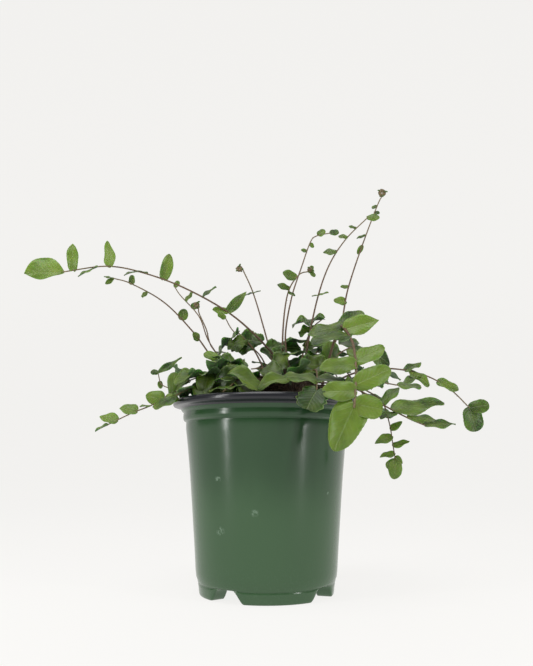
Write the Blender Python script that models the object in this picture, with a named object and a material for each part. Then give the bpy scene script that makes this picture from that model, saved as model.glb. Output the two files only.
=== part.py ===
"""A button fern in a nursery pot: the pot, its potting mix, the crown and every frond.

Shapes are worked out in millimetres and written to the scene in metres. The pot's axis is the world Z axis,
its feet stand on Z = 0, and the plant's front looks along -Y. Each frond is one grown piece: its wiry stem
with the leaflets joined to it. Its leaflets are listed as (share of the stem, aim, face, length, width),
where aim is the way the blade points and face is the way its upper side looks.
"""

import math

import bmesh
import bpy
from mathutils import Matrix, Vector
from mathutils.bvhtree import BVHTree

MM = 0.001

# Pot
FOOT_HEIGHT = 6.8
FOOT_TURN = -80.0  # azimuth of the first foot
FOOT_FLAT = 28.0  # half angle of a foot where it meets the ground
FOOT_ROOT = 38.0  # half angle of a foot where it meets the base
FOOT_STEPS = (-40, -37, -33, -29, -26, -18, -9, 0, 9, 18, 26, 29, 33, 37, 40)
BASE_STEP = 7.2
WALL = 0.9
DRAIN_RADIUS = 4.0
DRAIN_CIRCLE = 19.0

# Potting mix and crown
MIX_EDGE = 101.0
MIX_RISE = 10.5
MIX_RADIUS = 48.4
CROWN_CENTRE = (6.0, 0.0)
CROWN_HALF = (33.0, 20.0)
CROWN_RISE = 13.0
GAP = 0.35

# Fronds
STEM_SIDES = 5
STEM_STEP_LENGTH = 13.0
STEM_LEAST_STEPS = 5
SMALL_LEAFLET = 8.0
STEM_BASE = 0.95
STEM_TIP = 0.5
BLADE_HALF_THICK = 0.45
TURNS = (0, 25, -25, 50, -50, 75, -75)
SIZES = (1.0, 0.85, 0.7, 0.55)

UP = (0, 0, 1)
FACING = (0, -3, 1)
SKY = (0, -1, 3)
TILT = (0, -1, 1)

# name: (stem points, base first; leaflets; radius of the curled tip or 0)
TRAINED = {
    "frond_long_left": (
        ((14, 8), (11, 6, 131), (1, 2, 146), (-21, -8, 165), (-48, -18, 179), (-73, -26, 187),
         (-95, -31, 190), (-120, -36, 185)),
        ((0.965, (-0.5, 0, 6), (0, -1, 0), 17, 7), (0.89, (-5, -2, -3), (0, -1, 3), 13, 6),
         (0.84, (-1, 0, 6), (-1, -3, 0), 17, 7.5), (0.75, (-4, -2, -1), (0, -1, 3), 9, 5),
         (0.75, (3, 4, 1), (0, -1, 3), 8, 6), (0.665, (1.5, 0, 6), (1, -3, 0), 17, 7.5),
         (0.52, (3.5, 2, 4), (0, -1, 2), 12, 3.5), (0.42, (4, 0, 4.2), (1, -2, 1), 18, 6.5),
         (0.42, (-5, -2, 0.8), (0, -2, 1), 9.5, 6), (1.0, (-7, -1, -0.5), (0, -4, 1), 22, 15)), 0),
    "frond_second_left": (
        ((-12, 2), (-29, 0, 134), (-45, -8, 154), (-63, -13, 172), (-83, -17, 183), (-94, -19, 186)),
        ((0.91, (-1, 0, 5), (-1, -2, 0), 6, 5), (0.83, (-2, -3, -4), (-1, -2, 1), 6, 4.5),
         (0.6, (0.5, -1, 4), (0, -3, -1), 7, 6.5), (0.47, (-2, -2, 2), (0, -2, 1), 6, 5.5),
         (1.0, (-4, 0, 1), (0, -1, 2), 6, 4), (1.0, (-3, -1, -3), FACING, 6, 3.5)), 0),
    "frond_crook_left": (
        ((-8, 8), (-20, 10, 132), (-35, 10, 148), (-39, 10, 160), (-44, 10, 171), (-44, 10, 176)),
        ((0.45, (-4, -1, 1), SKY, 7, 6), (0.58, (3, 2, 1), SKY, 7, 6)), 2.6),
    "frond_wiry_left": (
        ((-3, 12), (-18, 16, 128), (-37, 20, 152), (-45, 22, 171), (-58, 24, 186), (-62, 24, 192)),
        ((0.9, (3, -2, 3), (0, -1, 1), 8, 6), (0.81, (1, 1, 3), FACING, 6, 5),
         (1.0, (1, 0, 2), FACING, 5, 4)), 0),
    "frond_heart_tip": (
        ((4, 14), (1, 20, 133), (-5, 24, 146), (-22, 28, 162), (-28, 30, 172)),
        ((1.0, (-2, -1, 1), (0, -2, 1), 6, 5), (0.45, (-4, 1, 1), UP, 9, 8)), 0),
    "frond_crozier_mid": (
        ((10, 13), (6, 18, 131), (0, 24, 157), (-9, 30, 189), (-17, 32, 208)),
        ((0.81, (-4, -1, -1), UP, 6, 5), (0.81, (4, 2, 2), UP, 6, 5)), 3.0),
    "frond_slim_mid": (
        ((12, -4), (11, -6, 130), (10, -10, 152), (13, -14, 177), (20, -16, 189), (27, -17, 191)),
        ((0.9, (-4, -1, 1.5), (0, -3, 1), 9, 7), (0.8, (-4, -1, 1.5), (0, -2, 1), 8, 5),
         (0.77, (3, 1, -1), TILT, 5, 4), (0.995, (1, 0, 3), FACING, 4, 3),
         (1.0, (3, 0, -3), FACING, 4.5, 3)), 1.8),
    "frond_slim_tall": (
        ((16, 4), (12, 6, 152), (16, 6, 179), (23, 6, 201), (29, 6, 218), (33, 6, 222), (42, 6, 224)),
        ((0.93, (1, 0, 1), FACING, 6, 5), (1.0, (4, 0, 1), FACING, 6, 5), (0.83, (-4, 0, 1), FACING, 4, 3),
         (0.88, (2, 0, -3), FACING, 4, 3)), 0),
    "frond_arch_upright": (
        ((22, 1), (25, 2, 143), (32, 0, 176), (40, -3, 199), (51, -5, 216), (65, -6, 230)),
        ((0.77, (-6, 0, 0.6), (0, -3, 2), 8.5, 6), (0.54, (-4, -2, -0.6), (0, -1, 3), 5, 3),
         (0.54, (4, 2, 1.8), (0, -1, 3), 8, 4), (0.86, (-4, 0, 1), (0, -3, 2), 6, 4.5),
         (0.92, (-2, 0, 1), TILT, 5, 4), (1.0, (4, 0, 0.6), FACING, 8, 5.5)), 0),
    "frond_tallest": (
        ((29, 9), (47, 14, 158), (54, 16, 188), (65, 20, 220), (78, 24, 253), (82, 24, 258)),
        ((0.94, (-4, 0, -1), FACING, 4, 3), (0.9, (3, 0, 1), FACING, 4, 3.5),
         (0.8, (-5, -1, -1.4), (0, -2, 1), 7, 2.4), (0.755, (-2, 0, -4), FACING, 7, 3.6),
         (0.56, (-5, 0, 0.4), FACING, 5.5, 3), (0.505, (-6, -1, 0.2), FACING, 8, 6.5)), 3.8),
    "frond_front_cascade": (
        ((34, 1), (40, -8, 143), (44, -18, 155), (46, -30, 152), (49, -42, 141), (49, -52, 126),
         (47, -61, 109), (46, -63, 103)),
        ((0.99, (-4.6, -1, -9), (-1, -6, 2), 27, 19), (0.99, (6, -1, -1), (1, -6, 1), 15, 13),
         (0.92, (-9, -1, 0), (0, -3, 1), 18, 12), (0.89, (8, 1, 4), (1, -3, 1), 22, 12),
         (0.79, (-9, -2, -1), (0, -2, 1), 21, 11), (0.77, (8, 1, 4), (0, -3, 2), 19, 11),
         (0.6, (-8, -2, -1), (0, -1.6, 2.2), 23, 12), (0.55, (8, -1, 1.8), (0.5, -3, 1), 21, 13),
         (0.47, (-8, -1, -1.6), (0.2, -2, 2), 21, 12), (0.45, (6, 1, 5), (0.4, -2, 1.6), 19, 11)), 0),
    "frond_right_reach": (
        ((34, 5), (43, 7, 125), (59, 8, 132), (79, 8, 134), (100, 8, 130), (116, 8, 121), (128, 8, 109)),
        ((0.48, (4, 2, -1), (0, -1, 4), 18, 11), (0.62, (4, 2, 2.2), (0, -1, 2), 14, 8),
         (0.65, (3, -3, -2.6), (0, -2, 3), 16, 9), (0.7, (-4, -2, -2), (0, -1, 4), 16, 9),
         (0.79, (9, -2, -3), (0, -3, 2), 14, 8), (1.0, (1.2, -1, -5), (0, -5, 1), 15, 13),
         (1.0, (5, -2, 1.0), (0, -4, 1), 12, 9)), 0),
    "frond_right_low": (
        ((31, -5), (43, -14, 121), (54, -22, 117), (66, -30, 108), (80, -38, 99), (88, -42, 95)),
        ((0.78, (8, 0.5, 2), (0, -3, 3), 32, 13), (0.88, (5, 1, 0.5), (0, -1.6, 2.4), 17, 10),
         (0.81, (-5, -3, -1), (0, -1, 3), 12, 8), (1.0, (6, 1, 0.8), (0, -1.6, 2.4), 18, 9),
         (0.7, (5, 2, 6), (0, -1, 2), 16, 8)), 0),
    "frond_right_hanging": (
        ((27, -2), (50, -8, 122), (59, -14, 118), (68, -21, 110), (71, -26, 97), (72, -29, 85),
         (73, -30, 76)),
        ((0.83, (4, 0, 2.6), (0, -2, 1), 8.5, 4.5), (0.87, (-5, -1, -1.6), (0, -2, 1), 11, 6),
         (0.92, (4, 0, 1.6), (0, -1, 1), 10, 5), (0.96, (-5, -1, -0.6), (0, -1, 1), 9, 5),
         (1.0, (-0.4, 0, -8), (0, -1, 0), 10.5, 8), (0.995, (-5, 0, -3), FACING, 7, 5.5),
         (0.98, (3, 0, -2.5), FACING, 5.5, 4)), 0),
    "frond_left_low": (
        ((-13, -5), (-35, -14, 122), (-52, -21, 117), (-66, -26, 108), (-77, -29, 103), (-90, -33, 96)),
        ((0.62, (0.6, 0, 6), (0, -3, 1), 13, 7), (0.68, (-5, -1, 1), (0, -3, 1), 10, 10),
         (0.66, (4, -2, -1), (0, -2, 1), 9, 6), (0.83, (-5, 0, 1), (0, -3, 2), 11, 8),
         (0.76, (-3, -3, 0), (0, -1, 3), 7, 5), (0.94, (-5, 0, 1), (0, -3, 2), 11, 7.5),
         (1.0, (-5, 0, -2), (0, -1, 3), 8, 5)), 0),
    "frond_left_back": (
        ((-8, 5), (-42, 10, 122), (-59, 14, 122), (-68, 18, 125), (-71, 20, 133)),
        ((1.0, (5, 1, 3.4), (0, -2, 1), 19, 5), (0.99, (-4, 0, 1), FACING, 5, 4),
         (0.93, (0.5, 0, -4), FACING, 5, 3.5), (0.72, (-5, -2, -1), UP, 9, 7), (0.55, (-2, 4, 1), UP, 10, 9),
         (0.55, (-1, -4, 1), UP, 10, 9)), 0),
    "frond_mat_left": (
        ((-8, -10), (-18, -18, 125), (-30, -21, 127), (-40, -19, 125), (-48, -14, 123)),
        ((1.0, (-9, 4, -4), (-1, -3, 2), 15, 13), (0.79, (-5, -4, -3), (0, -2, 3), 19, 15),
         (0.58, (-16, -2, 1), UP, 22, 17), (0.5, (0, -3, -7), (0, -4, 1), 14, 14),
         (0.96, (-5, -4, -2), (0, -2, 3), 13, 10), (0.64, (-2, -6, -5), (0, -3, 2), 15, 13),
         (0.72, (-1, -5, -6), (0, -3, 2), 14, 12)), 0),
    "frond_mat_front": (
        ((1, -12), (-6, -20, 125), (-14, -28, 127), (-21, -36, 125)),
        ((1.0, (15, -4, -7), (1, -4, 4), 22, 12), (0.48, (-9, -2, 2), (0, 1, 3), 17, 13),
         (0.75, (-4, -3, -7), (-1, -4, 2), 16, 14)), 0),
    "frond_mat_mid": (
        ((13, -13), (14, -20, 123), (13, -28, 123), (12, -37, 121)),
        ((1.0, (-15, -3, -2), (0, -3, 3), 18, 10), (0.72, (9, -1, 3), (-1, 1, 3), 16, 13),
         (0.5, (-12, -2, 3), (0, -2, 3), 15, 12)), 0),
    "frond_over_rim": (
        ((22, -11), (25, -22, 126), (28, -36, 127), (28, -48, 121), (27, -57, 113)),
        ((1.0, (-3, -2, -5), (-1, -4, 2), 12, 17), (0.84, (-5, -2, 1), (0, -2, 3), 19, 12),
         (0.82, (5, -2, -1), (1, -2, 3), 15, 13), (0.55, (5, 0, 1), SKY, 15, 12),
         (0.52, (-4, -1, 2), SKY, 13, 11)), 0),
    "frond_canopy_left": (
        ((0, 4), (-3, 6, 136), (-8, 8, 146), (-14, 8, 153), (-18, 7, 157)),
        ((1.0, (-13, -2, -10), (-3, 0, 4), 20, 14), (0.86, (-8, -2, -5), (0, -3, 1), 14, 10),
         (0.69, (-12, -1, 1), (0, -3, 2), 14, 11)), 0),
    "frond_canopy_mid": (
        ((7, 5), (5, 9, 134), (2, 12, 145), (-3, 12, 152)),
        ((1.0, (-14, -1, 3), (0, -3, 2), 19, 13), (0.83, (16, 1, 2), (0, -3, 2), 22, 14)), 0),
    "frond_canopy_right": (
        ((19, 8), (22, 11, 137), (25, 12, 150), (30, 10, 161), (36, 7, 166)),
        ((1.0, (-14, -2, -3), (0, -2, 2), 20, 13), (0.88, (-9, -3, -5), (0, -2, 2), 11, 8),
         (0.72, (-13, 1, 1), UP, 15, 10), (0.64, (13, -2, 0), (0, -2, 3), 17, 10),
         (0.48, (5, -2, 1), TILT, 16, 12)), 0),
    "frond_canopy_front": (
        ((7, -7), (5, -13, 128), (-2, -20, 130), (-9, -25, 129)),
        ((0.74, (4, -5, -5), (0, -4, 2), 16, 14),
         (0.44, (8, -3, 2), (0, -4, 1), 15, 13)), 0),
    "frond_canopy_low": (
        ((-5, -3), (-12, -8, 130), (-20, -12, 134), (-30, -12, 138)),
        ((1.0, (-6, 0, 2), (0, -3, 1), 9, 6), (0.54, (-15, -3, 2), (0, -3, 2), 22, 17),
         (0.91, (-9, -1, -2), (0, -2, 1), 10, 6), (0.72, (-3, -6, -6), (0, -4, 2), 16, 15)), 0),
    "frond_canopy_centre": (
        ((15, -8), (13, -11, 129), (10, -12, 138), (9, -12, 143)),
        ((1.0, (-10, -3, -12), (0, -5, 1), 26, 19), (0.84, (12, 1, 3), UP, 15, 11)), 0),
    "frond_shade_right": (
        ((25, 4), (36, 3, 133), (46, 4, 143), (57, 6, 148), (66, 10, 146)),
        ((1.0, (4, 1, -2), (0, -2, 1), 17, 13), (0.82, (1, -3, -2), (0, -2, 1), 16, 13),
         (0.8, (-1, 3, 2), (0, -1, 1), 15, 13), (0.58, (2, -4, -2), TILT, 15, 12),
         (0.49, (-15, -2, 2), (0, -3, 2), 18, 14), (0.58, (-1, -1, 7), (0, -3, 1), 12, 11)), 0),
    "frond_shade_low": (
        ((30, 4), (44, 2, 124), (58, -4, 125), (70, -9, 123), (80, -11, 121)),
        ((1.0, (5, 1, 0), (0, -1, 2), 15, 11), (0.8, (-1, -4, -1), (0, -2, 2), 15, 12),
         (0.8, (2, 4, 1), SKY, 15, 12), (0.6, (-1, -4, -1), TILT, 14, 12)), 0),
}

# name: (base on the crown, azimuth, reach, height of the arch, height of the tip, pairs of leaflets, leaflet length)
WILD = {
    "frond_back_long": ((14, 16), 102, 38, 144, 120, 6, 14),
    "frond_back_mid": ((17, 12), 84, 41, 138, 112, 6, 14),
    "frond_back_right": ((24, 13), 52, 50, 150, 122, 6, 15),
    "frond_back_low_left": ((-1, 16), 138, 56, 132, 106, 5, 15),
    "frond_back_low_right": ((27, 12), 35, 56, 138, 112, 5, 16),
    "frond_back_drape": ((20, 16), 70, 40, 129, 115, 5, 14),
    "frond_front_left": ((-18, -13), 203, 38, 121, 113, 4, 14),
    "frond_front_low": ((-7, -16), 243, 36, 122, 113, 4, 14),
}

COLOURS = {
    "pot": (0.035, 0.075, 0.036, 1.0),
    "potting_mix": (0.035, 0.022, 0.014, 1.0),
    "crown": (0.05, 0.028, 0.016, 1.0),
    "frond": (0.13, 0.26, 0.035, 1.0),
}


def material(name, colour, roughness):
    """A plain material with the colour and roughness of one kind of piece."""
    made = bpy.data.materials.new(name)
    made.use_nodes = True
    shader = made.node_tree.nodes["Principled BSDF"]
    shader.inputs["Base Color"].default_value = colour
    shader.inputs["Roughness"].default_value = roughness
    shader.inputs["Metallic"].default_value = 0.0
    return made


def object_of(name, points, faces, finish, smooth=True):
    """One mesh object from points in millimetres, with its faces turned outward."""
    mesh = bpy.data.meshes.new(name)
    mesh.from_pydata([tuple(c * MM for c in p) for p in points], [], faces)
    shell = bmesh.new()
    shell.from_mesh(mesh)
    bmesh.ops.recalc_face_normals(shell, faces=shell.faces)
    shell.to_mesh(mesh)
    shell.free()
    mesh.polygons.foreach_set("use_smooth", [smooth] * len(mesh.polygons))
    mesh.materials.append(finish)
    made = bpy.data.objects.new(name, mesh)
    bpy.context.scene.collection.objects.link(made)
    return made


def joined_rings(rings):
    """Points and faces of a closed skin through rings of equal count, whose ends may be single points."""
    points = []
    starts = []
    for ring in rings:
        starts.append(len(points))
        points.extend(ring)
    faces = []
    for lower, upper, a, b in zip(rings, rings[1:], starts, starts[1:]):
        count = max(len(lower), len(upper))
        for i in range(count):
            j = (i + 1) % count
            if len(lower) == 1:
                faces.append((a, b + i, b + j))
            elif len(upper) == 1:
                faces.append((a + j, a + i, b))
            else:
                faces.append((a + j, a + i, b + i))
                faces.append((a + j, b + i, b + j))
    for ring, start in ((rings[0], starts[0]), (rings[-1], starts[-1])):
        if len(ring) > 1:
            faces.append(tuple(range(start, start + len(ring))))
    return points, faces


# The pot


def foot_share(azimuth):
    """1 on a foot, 0 in the arch between two feet, and between the two on a foot's sloping side."""
    away = abs((azimuth - FOOT_TURN + 45.0) % 90.0 - 45.0)
    slope = (FOOT_ROOT - away) / (FOOT_ROOT - FOOT_FLAT)
    slope = min(1.0, max(0.0, slope))
    return slope * slope * (3.0 - 2.0 * slope)


def azimuths():
    """The angles round the pot, closer together where a foot's side slopes."""
    return [FOOT_TURN + 90.0 * quarter + step for quarter in range(4) for step in FOOT_STEPS]


def ring_at(radius, height, foot_drop=None):
    """A ring of points. With foot_drop the height is the least of a foot, and the arches stand higher."""
    ring = []
    for azimuth in azimuths():
        turn = math.radians(azimuth)
        z = height
        if foot_drop is not None:
            lift = FOOT_HEIGHT * (1.0 - foot_share(azimuth))
            z = lift + foot_drop * (BASE_STEP - lift) / BASE_STEP if foot_drop >= 0 else lift + height
        ring.append((radius * math.cos(turn), radius * math.sin(turn), z))
    return ring


def pot_rings():
    """The pot's skin from under the middle of its floor, out and up the wall, over the lip and back inside."""
    outside = (
        (40.2, 7.2), (41.3, 10.5), (41.7, 13.3), (43.7, 39.4), (46.0, 67.0), (48.8, 94.5), (49.4, 98.0),
        (49.3, 98.9), (50.4, 100.4), (51.0, 104.0), (52.5, 105.9), (53.4, 107.2), (57.0, 108.9), (57.2, 110.8),
        (56.5, 112.1), (55.2, 112.4), (53.9, 111.4), (52.2, 107.6), (50.0, 103.8), (49.4, 100.8), (48.5, 98.4),
    )
    inside = ((47.9, 94.5), (45.1, 67.0), (42.8, 39.4), (40.6, 13.3), (39.5, 10.4))
    rings = [[(0.0, 0.0, 7.0)], ring_at(30.2, 7.0), ring_at(31.0, 0.0, -1)]
    rings += [ring_at(38.9, 0.0, 0.0), ring_at(39.5, 1.6, 1.6), ring_at(39.9, 5.0, 5.0)]
    rings += [ring_at(radius, height) for radius, height in outside + inside]
    rings += [ring_at(38.2, WALL, -1), ring_at(31.9, WALL, -1), ring_at(31.1, 7.0 + WALL), [(0.0, 0.0, 7.0 + WALL)]]
    return rings


def drain_cutters():
    """Five round pegs through the pot's floor."""
    places = [(0.0, 0.0)]
    for quarter in range(4):
        turn = math.radians(FOOT_TURN + 90.0 * quarter)
        places.append((DRAIN_CIRCLE * math.cos(turn), DRAIN_CIRCLE * math.sin(turn)))
    group = bpy.data.collections.new("drain_cutters")
    bpy.context.scene.collection.children.link(group)
    for x, y in places:
        bpy.ops.mesh.primitive_cylinder_add(
            vertices=14, radius=DRAIN_RADIUS * MM, depth=8.0 * MM, location=(x * MM, y * MM, 7.4 * MM)
        )
        peg = bpy.context.object
        peg.name = "drain_peg"
        for home in list(peg.users_collection):
            home.objects.unlink(peg)
        group.objects.link(peg)
        peg.hide_render = True
        peg.display_type = "WIRE"
    return group


def build_pot(finish):
    """The pot with its drain holes cut."""
    points, faces = joined_rings(pot_rings())
    pot = object_of("pot", points, faces, finish)
    cut = pot.modifiers.new("drain_holes", "BOOLEAN")
    cut.operation = "DIFFERENCE"
    cut.solver = "EXACT"
    cut.operand_type = "COLLECTION"
    cut.collection = drain_cutters()
    return pot, points, faces


# The potting mix and the crown


def mix_top(x, y):
    """Height of the potting mix at a place: a low mound."""
    share = min(1.0, math.hypot(x, y) / MIX_RADIUS)
    return MIX_EDGE + MIX_RISE * (1.0 - share * share)


def build_mix(finish):
    """The potting mix: it fills the pot and its hollow feet, a hair away from the wall."""
    floor = 7.0 + WALL + 0.4
    rings = [[(0.0, 0.0, floor)], ring_at(31.5, floor), ring_at(32.7, WALL + 0.7, -1), ring_at(37.4, WALL + 0.7, -1)]
    rings += [ring_at(39.0, 10.4), ring_at(40.2, 13.3), ring_at(42.3, 39.4), ring_at(44.7, 67.0), ring_at(47.4, 94.5)]
    for radius in (MIX_RADIUS, 41.0, 33.0, 25.0, 17.0, 9.0):
        rings.append([(x, y, mix_top(x, y)) for x, y, _ in ring_at(radius, 0.0)])
    rings.append([(0.0, 0.0, mix_top(0.0, 0.0))])
    points, faces = joined_rings(rings)
    object_of("potting_mix", points, faces, finish)
    return points, faces


def build_crown(finish):
    """The woody crown: a lumpy clump lying on the potting mix, which every frond grows from."""
    turns = [math.radians(15.0 * step) for step in range(24)]

    def ring(share, rise):
        made = []
        for turn in turns:
            wave = 1.0 + 0.05 * math.sin(3.0 * turn + 0.6) + 0.04 * math.sin(7.0 * turn)
            x = CROWN_CENTRE[0] + CROWN_HALF[0] * share * wave * math.cos(turn)
            y = CROWN_CENTRE[1] + CROWN_HALF[1] * share * wave * math.sin(turn)
            lump = 1.0 + 0.22 * math.sin(0.55 * x + 0.4) * math.cos(0.61 * y + 0.3)
            made.append((x, y, mix_top(x, y) + GAP + rise * lump))
        return made

    centre = CROWN_CENTRE
    low = mix_top(*centre) + GAP
    rings = [[(*centre, low)], ring(0.5, 0.0), ring(0.95, 0.0), ring(1.0, 1.6)]
    rings += [ring(0.86, 0.62 * CROWN_RISE), ring(0.6, 0.86 * CROWN_RISE), ring(0.3, CROWN_RISE)]
    rings.append([(*centre, low + CROWN_RISE)])
    points, faces = joined_rings(rings)
    object_of("crown", points, faces, finish)
    return points, faces


# The fronds


def curve_through(knots):
    """Points evenly spaced along a smooth curve through the knots."""
    knots = [Vector(k) for k in knots]
    ends = [2 * knots[0] - knots[1], *knots, 2 * knots[-1] - knots[-2]]
    fine = []
    for a, b, c, d in zip(ends, ends[1:], ends[2:], ends[3:]):
        for part in range(24):
            t = part / 24.0
            fine.append(0.5 * (2 * b + (c - a) * t + (2 * a - 5 * b + 4 * c - d) * t * t + (3 * b - a - 3 * c + d) * t**3))
    fine.append(knots[-1])
    lengths = [0.0]
    for a, b in zip(fine, fine[1:]):
        lengths.append(lengths[-1] + (b - a).length)
    steps = max(STEM_LEAST_STEPS, round(lengths[-1] / STEM_STEP_LENGTH))
    even = []
    at = 0
    for step in range(steps + 1):
        wanted = lengths[-1] * step / steps
        while at < len(fine) - 2 and lengths[at + 1] < wanted:
            at += 1
        share = (wanted - lengths[at]) / max(1e-9, lengths[at + 1] - lengths[at])
        even.append(fine[at].lerp(fine[at + 1], min(1.0, share)))
    return even


def place_on(path, share):
    """The point and the direction of a path at a share of its length."""
    place = share * (len(path) - 1)
    at = min(len(path) - 2, int(place))
    return path[at].lerp(path[at + 1], place - at), (path[at + 1] - path[at]).normalized()


def tube(path, start_radius, end_radius, sides):
    """A closed tapering tube along a path, its first ring level so that it sits flat on what carries it."""
    across = Vector((1.0, 0.0, 0.0))
    rings = []
    for i, point in enumerate(path):
        along = Vector((0, 0, 1)) if i == 0 else (path[min(i + 1, len(path) - 1)] - path[i - 1]).normalized()
        across = (across - along * across.dot(along)).normalized()
        side = along.cross(across)
        radius = start_radius + (end_radius - start_radius) * i / (len(path) - 1)
        ring = []
        for k in range(sides):
            turn = 2.0 * math.pi * k / sides
            ring.append(point + across * (radius * math.cos(turn)) + side * (radius * math.sin(turn)))
        rings.append(ring)
    return joined_rings(rings)


def leaflet(base, aim, face, length, width, thick=BLADE_HALF_THICK):
    """A closed leaflet: a short stalk that widens into a rounded blade with a thin edge, cupped a little."""
    aim = Vector(aim).normalized()
    face = Vector(face)
    face = face - aim * face.dot(aim)
    face = face.normalized() if face.length > 0.05 else aim.orthogonal().normalized()
    side = aim.cross(face)
    half = 0.5 * width
    sections = ((-0.02, 0.35, 0.3), (0.24, 0.86 * half, thick), (0.62, half, thick))
    if length < SMALL_LEAFLET:
        sections = ((-0.02, 0.35, 0.3), (0.5, half, thick))
    rings = []
    for share, across, height in sections:
        centre = base + aim * (length * share)
        edge = centre - face * (0.10 * across)
        rings.append([edge - side * across, centre + face * height, edge + side * across, centre - face * height])
    rings.append([base + aim * length - face * (0.06 * length)])
    return joined_rings(rings)


def ball(centre, radius):
    """A small many-sided ball for a frond tip that is still curled up."""
    rings = [[centre - Vector((0, 0, radius))]]
    for level in (-0.6, 0.0, 0.6):
        across = radius * math.sqrt(1.0 - level * level)
        turns = [math.radians(60.0 * k) for k in range(6)]
        rings.append([centre + Vector((across * math.cos(t), 0.7 * across * math.sin(t), radius * level)) for t in turns])
    rings.append([centre + Vector((0, 0, radius))])
    return joined_rings(rings)


class Growth:
    """What has grown so far, so that each new leaflet finds free room."""

    def __init__(self, obstacles):
        self.taken = [("ground", self.tree(*shape), None) for shape in obstacles]

    @staticmethod
    def tree(points, faces):
        return BVHTree.FromPolygons([Vector(p) for p in points], faces)

    def ground_under(self, x, y):
        """The highest surface under a place."""
        tops = []
        for owner, tree, _ in self.taken:
            if owner == "ground":
                hit = tree.ray_cast(Vector((x, y, 200.0)), Vector((0, 0, -1)))
                if hit[0] is not None:
                    tops.append(hit[0].z)
        return max(tops)

    def free(self, shape, owner, skipped_kinds):
        """Whether a shape touches nothing, leaving out the owner's own shapes of the skipped kinds."""
        tree = self.tree(*shape)
        for other, placed, kind in self.taken:
            if other == owner and kind in skipped_kinds:
                continue
            if tree.overlap(placed):
                return False
        return True

    def report_crossing(self, shape, owner):
        """Says which pieces a new shape runs into."""
        tree = self.tree(*shape)
        for other, placed, kind in self.taken:
            if other != owner and tree.overlap(placed):
                print(f"{owner} runs into {other} ({kind})")

    def take(self, shape, owner, kind):
        self.taken.append((owner, self.tree(*shape), kind))

    def fitted(self, owner, base, along, aim, face, length, width):
        """The leaflet as listed or, where that room is taken, turned about its stem or smaller."""
        for size in SIZES:
            for turn in TURNS:
                spin = Matrix.Rotation(math.radians(turn), 3, along)
                lean = Vector(aim).normalized()
                lean.rotate(spin)
                look = Vector(face).normalized()
                look.rotate(spin)
                grown = leaflet(base, lean, look, size * length, size * width)
                wide = leaflet(base + lean * 1.5, lean, look, size * length - 1.0, size * width + 0.6, 0.8)
                if self.free(wide, owner, ("stem",)) and self.free(grown, owner, ("stem", "leaflet")):
                    self.take(grown, owner, "leaflet")
                    return grown
        return None


def wild_frond(base, azimuth, reach, crest, tip, pairs, length):
    """Stem points and leaflets of a frond that follows the common habit: it rises, arches over and droops."""
    turn = math.radians(azimuth)
    out = Vector((math.cos(turn), math.sin(turn), 0.0))
    side = Vector((-out.y, out.x, 0.0))
    x, y = base
    steps = ((0.10, 0.45, 0.0), (0.30, 0.86, 0.03), (0.56, 1.0, 0.04), (0.80, None, 0.01), (1.0, None, -0.03))
    knots = [base]
    for share, rise, sway in steps:
        height = 118 + (crest - 118) * rise if rise is not None else crest + (tip - crest) * (share - 0.56) / 0.44
        place = out * (reach * share) + side * (reach * sway)
        knots.append((round(x + place.x), round(y + place.y), round(height)))
    leaflets = [(1.0, out * 3 + Vector((0, 0, -1)), (0, 0, 1), 1.05 * length, 0.85 * length)]
    for pair in range(pairs):
        share = 0.95 - 0.68 * (pair + 0.5) / pairs
        size = length * (0.78 + 0.32 * math.sin(math.pi * (pair + 0.6) / pairs))
        for hand in (1, -1):
            lift = 0.25 * math.sin(2.3 * pair + hand)
            aim = side * (2.2 * hand) + out * 0.5 + Vector((0, 0, lift))
            leaflets.append((share + 0.02 * hand, aim, out * 0.25 + Vector((0, 0, 1)), size, 0.78 * size))
    return knots, leaflets, 0


class Frond:
    """One frond while it grows: its stem first, then every leaflet that finds room."""

    def __init__(self, name, knots, leaflets, curl):
        self.name = name
        self.knots = knots
        self.leaflets = leaflets
        self.curl = curl
        self.path = []
        self.shapes = []

    def grow_stem(self, growth):
        """Lays the stem from the crown's surface along the knots."""
        x, y = self.knots[0][:2]
        near = (-0.9, -0.45, 0.0, 0.45, 0.9)
        ground = max(growth.ground_under(x + dx, y + dy) for dx in near for dy in near)
        foot = (x, y, ground + GAP)
        self.path = curve_through([foot, (x, y, foot[2] + 2.5), *self.knots[1:]])
        self.path.insert(1, Vector(foot).lerp(Vector((x, y, foot[2] + 2.5)), 0.6))
        stem = tube(self.path, STEM_BASE, STEM_TIP, STEM_SIDES)
        growth.report_crossing(stem, self.name)
        growth.take(stem, self.name, "stem")
        self.shapes.append(stem)

    def grow_leaflets(self, growth):
        """Adds the leaflets that find room, and the curled tip if there is one."""
        if self.curl:
            tip = ball(self.path[-1] + Vector((0, 0, 0.5 * self.curl)), self.curl)
            growth.report_crossing(tip, self.name)
            growth.take(tip, self.name, "leaflet")
            self.shapes.append(tip)
        for share, aim, face, length, width in self.leaflets:
            base, along = place_on(self.path, share)
            shape = growth.fitted(self.name, base, along, aim, face, length, width)
            if shape is None:
                print("no room:", self.name, round(share, 2))
            else:
                self.shapes.append(shape)

    def build(self, finish):
        """Joins the stem, the leaflets and the curled tip into one body."""
        frond = object_of(self.name, *self.shapes[0], finish)
        group = bpy.data.collections.new(self.name + "_leaflets")
        bpy.context.scene.collection.children.link(group)
        for number, shape in enumerate(self.shapes[1:]):
            helper = object_of(f"{self.name}_leaflet_{number}", *shape, finish)
            for home in list(helper.users_collection):
                home.objects.unlink(helper)
            group.objects.link(helper)
            helper.hide_render = True
            helper.display_type = "WIRE"
        join = frond.modifiers.new("grown_together", "BOOLEAN")
        join.operation = "UNION"
        join.solver = "EXACT"
        join.operand_type = "COLLECTION"
        join.collection = group


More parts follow.
